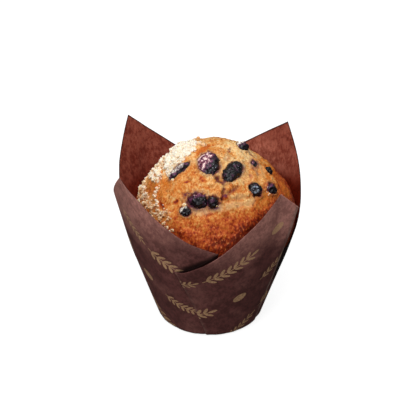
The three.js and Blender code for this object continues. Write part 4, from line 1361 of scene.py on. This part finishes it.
# Soft boxes: azimuth, elevation and distance as seen from the muffin, width in metres, and watts.
LIGHTS = {
    "overhead": (245, 68, 0.9, 0.6, 5.5),
    "front_fill": (237, 28, 1.1, 0.5, 2.7),
    "front_right": (295, 16, 1.1, 0.3, 0.7),
    "back_right": (10, 72, 1.0, 0.3, 1.6),
}
# The sky's strength below and above, and the heights between which it changes.
SKY = {"To Min": 0.05, "To Max": 0.3, "From Min": -0.25, "From Max": 0.6}
FLOOR_REACH, FLOOR_GREY, FLOOR_GLOW = 3.0, 0.35, 0.85


def add_looking(name, data, azimuth, elevation, distance):
    """A camera or light that looks at the muffin's middle."""
    thing = add_object(name, data)
    tilt = np.radians(elevation)
    way = Vector(polar(np.cos(tilt), np.radians(azimuth), np.sin(tilt)))
    thing.location = CAMERA_TARGET + distance * way
    thing.rotation_euler = (-way).to_track_quat("-Z", "Y").to_euler()
    return thing


def build_camera():
    data = bpy.data.cameras.new("camera")
    data.sensor_width = SENSOR_WIDTH
    data.lens = FOCAL_PIXELS / FRAME_PIXELS * SENSOR_WIDTH
    data.clip_start = 0.01
    bpy.context.scene.camera = add_looking("camera", data, 270, CAMERA_ELEVATION, CAMERA_DISTANCE)


def build_studio():
    world = bpy.data.worlds.new("studio")
    world.use_nodes = True
    nodes, links = world.node_tree.nodes, world.node_tree.links
    split = nodes.new("ShaderNodeSeparateXYZ")
    links.new(nodes.new("ShaderNodeTexCoord").outputs["Generated"], split.inputs[0])
    height = nodes.new("ShaderNodeMapRange")
    links.new(split.outputs["Z"], height.inputs["Value"])
    for key, value in SKY.items():
        height.inputs[key].default_value = value
    background = nodes["Background"]
    background.inputs["Color"].default_value = (1.0, 1.0, 1.0, 1.0)
    links.new(height.outputs["Result"], background.inputs["Strength"])
    bpy.context.scene.world = world
    bpy.context.scene.view_settings.view_transform = "Standard"
    for name, (azimuth, elevation, distance, width, watts) in LIGHTS.items():
        data = bpy.data.lights.new(name, "AREA")
        data.shape = "SQUARE"
        data.size = width
        data.energy = watts
        add_looking(name, data, azimuth, elevation, distance)
    mesh = bpy.data.meshes.new("floor")
    corners = [(x * FLOOR_REACH, y * FLOOR_REACH, 0) for x, y in ((-1, -1), (1, -1), (1, 1), (-1, 1))]
    mesh.from_pydata(corners, [], [(0, 1, 2, 3)])
    surface = Surface("pale_floor", Roughness=1.0, Specular_IOR_Level=0.0, Emission_Strength=FLOOR_GLOW)
    surface.shader.inputs["Base Color"].default_value = (FLOOR_GREY, FLOOR_GREY, FLOOR_GREY, 1.0)
    surface.shader.inputs["Emission Color"].default_value = (1.0, 1.0, 1.0, 1.0)
    mesh.materials.append(surface.material)
    floor = add_object("floor", mesh)
    floor.visible_diffuse = False
    floor.visible_glossy = False


# ---- Everything together ----


def build_paper():
    printed = paper_surface(
        "paper_printed", ((170, 114, 105), (216, 152, 138)), ((94, 56, 53), (126, 77, 73)), printed=True,
    )
    inside = paper_surface(
        "paper_inside", ((113, 45, 33), (160, 86, 68)), ((92, 19, 5), (124, 33, 12)),
        painted_light=((164, 82, 62), (222, 138, 112)),
    )
    edge = paper_surface("paper_edge", ((60, 36, 32), (80, 50, 44)), ((46, 26, 22), (60, 34, 28)))
    points, quads, places, marks, kinds = paper_geometry()
    disc_points, disc_faces = base_disc()
    slant = np.linalg.norm(places, axis=1) - BASE_RADIUS
    heading = np.degrees(np.arctan2(places[:, 1], places[:, 0]))
    face = np.arange(len(places)) * 2 // len(places)
    # The lower part is darker from fat and painted shade, and reaches higher about one heading.
    soak_and_shade = np.zeros(len(places))
    for number, darkening in enumerate(SOAKED_AND_SHADED):
        about, width, climb = darkening["climbs"]
        climbed = climb * bell(heading - about, width)
        soak_and_shade = np.where(face == number, 1 - smoothstep(slant - climbed, *darkening["below"]), soak_and_shade)
    # Painted light on the inner face about one heading.
    painted_light = PAINTED_LIGHT["strength"] * bell(heading - PAINTED_LIGHT["heading"], PAINTED_LIGHT["width"])
    painted_light *= window(slant, PAINTED_LIGHT["from"], PAINTED_LIGHT["to"])
    rows = len(row_slants(0.0))
    rim = np.tile(np.arange(rows) >= rows - len(RIM_ROWS), len(places) // rows)
    names, values = ("soak_and_shade", "painted_light", "rim", "fold_highlight", "shade"), (soak_and_shade, painted_light, rim, *marks.T)
    on_disc = (1, 0, 0, 0, 0)
    attributes = {name: np.append(value, np.full(len(disc_points), disc))
                  for name, value, disc in zip(names, values, on_disc)}
    attributes["sheet"] = np.concatenate([places, disc_points * (1, 1, 0)])
    piece = make_piece(
        "tulip_case",
        np.concatenate([points, disc_points]),
        [*quads, *(disc_faces + len(points))],
        (printed, inside, edge),
        attributes,
        np.append(kinds, np.zeros(len(disc_faces), int)),
    )
    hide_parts("paper_case")


def build_cake():
    points, faces, values = cake_geometry()
    piece = make_piece("cake", points, faces, (cake_surface(),), values)
    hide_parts("muffin")


def build_berries():
    skin = berry_surface()
    for number, berry in enumerate(BERRIES):
        points, faces, values = berry_geometry(berry, number)
        piece = make_piece(f"baked_berry_{number + 1:02d}", points, faces, (skin,), values)
        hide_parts(f"berry_{number + 1:02d}")


def build_streusel():
    surface = streusel_surface()
    points, faces, values = crumb_geometry(raised(place_crumbs()), **LARGE)
    large = make_piece("streusel_large", points, faces, (surface,), values)
    points, faces, values = crumb_geometry(fine_crumbs(), **FINE)
    fine = make_piece("streusel_fine", points, faces, (surface,), values, smooth=False)
    for piece in (large, fine):
        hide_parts("muffin")


build_camera()
build_studio()
build_paper()
build_cake()
build_berries()
build_streusel()
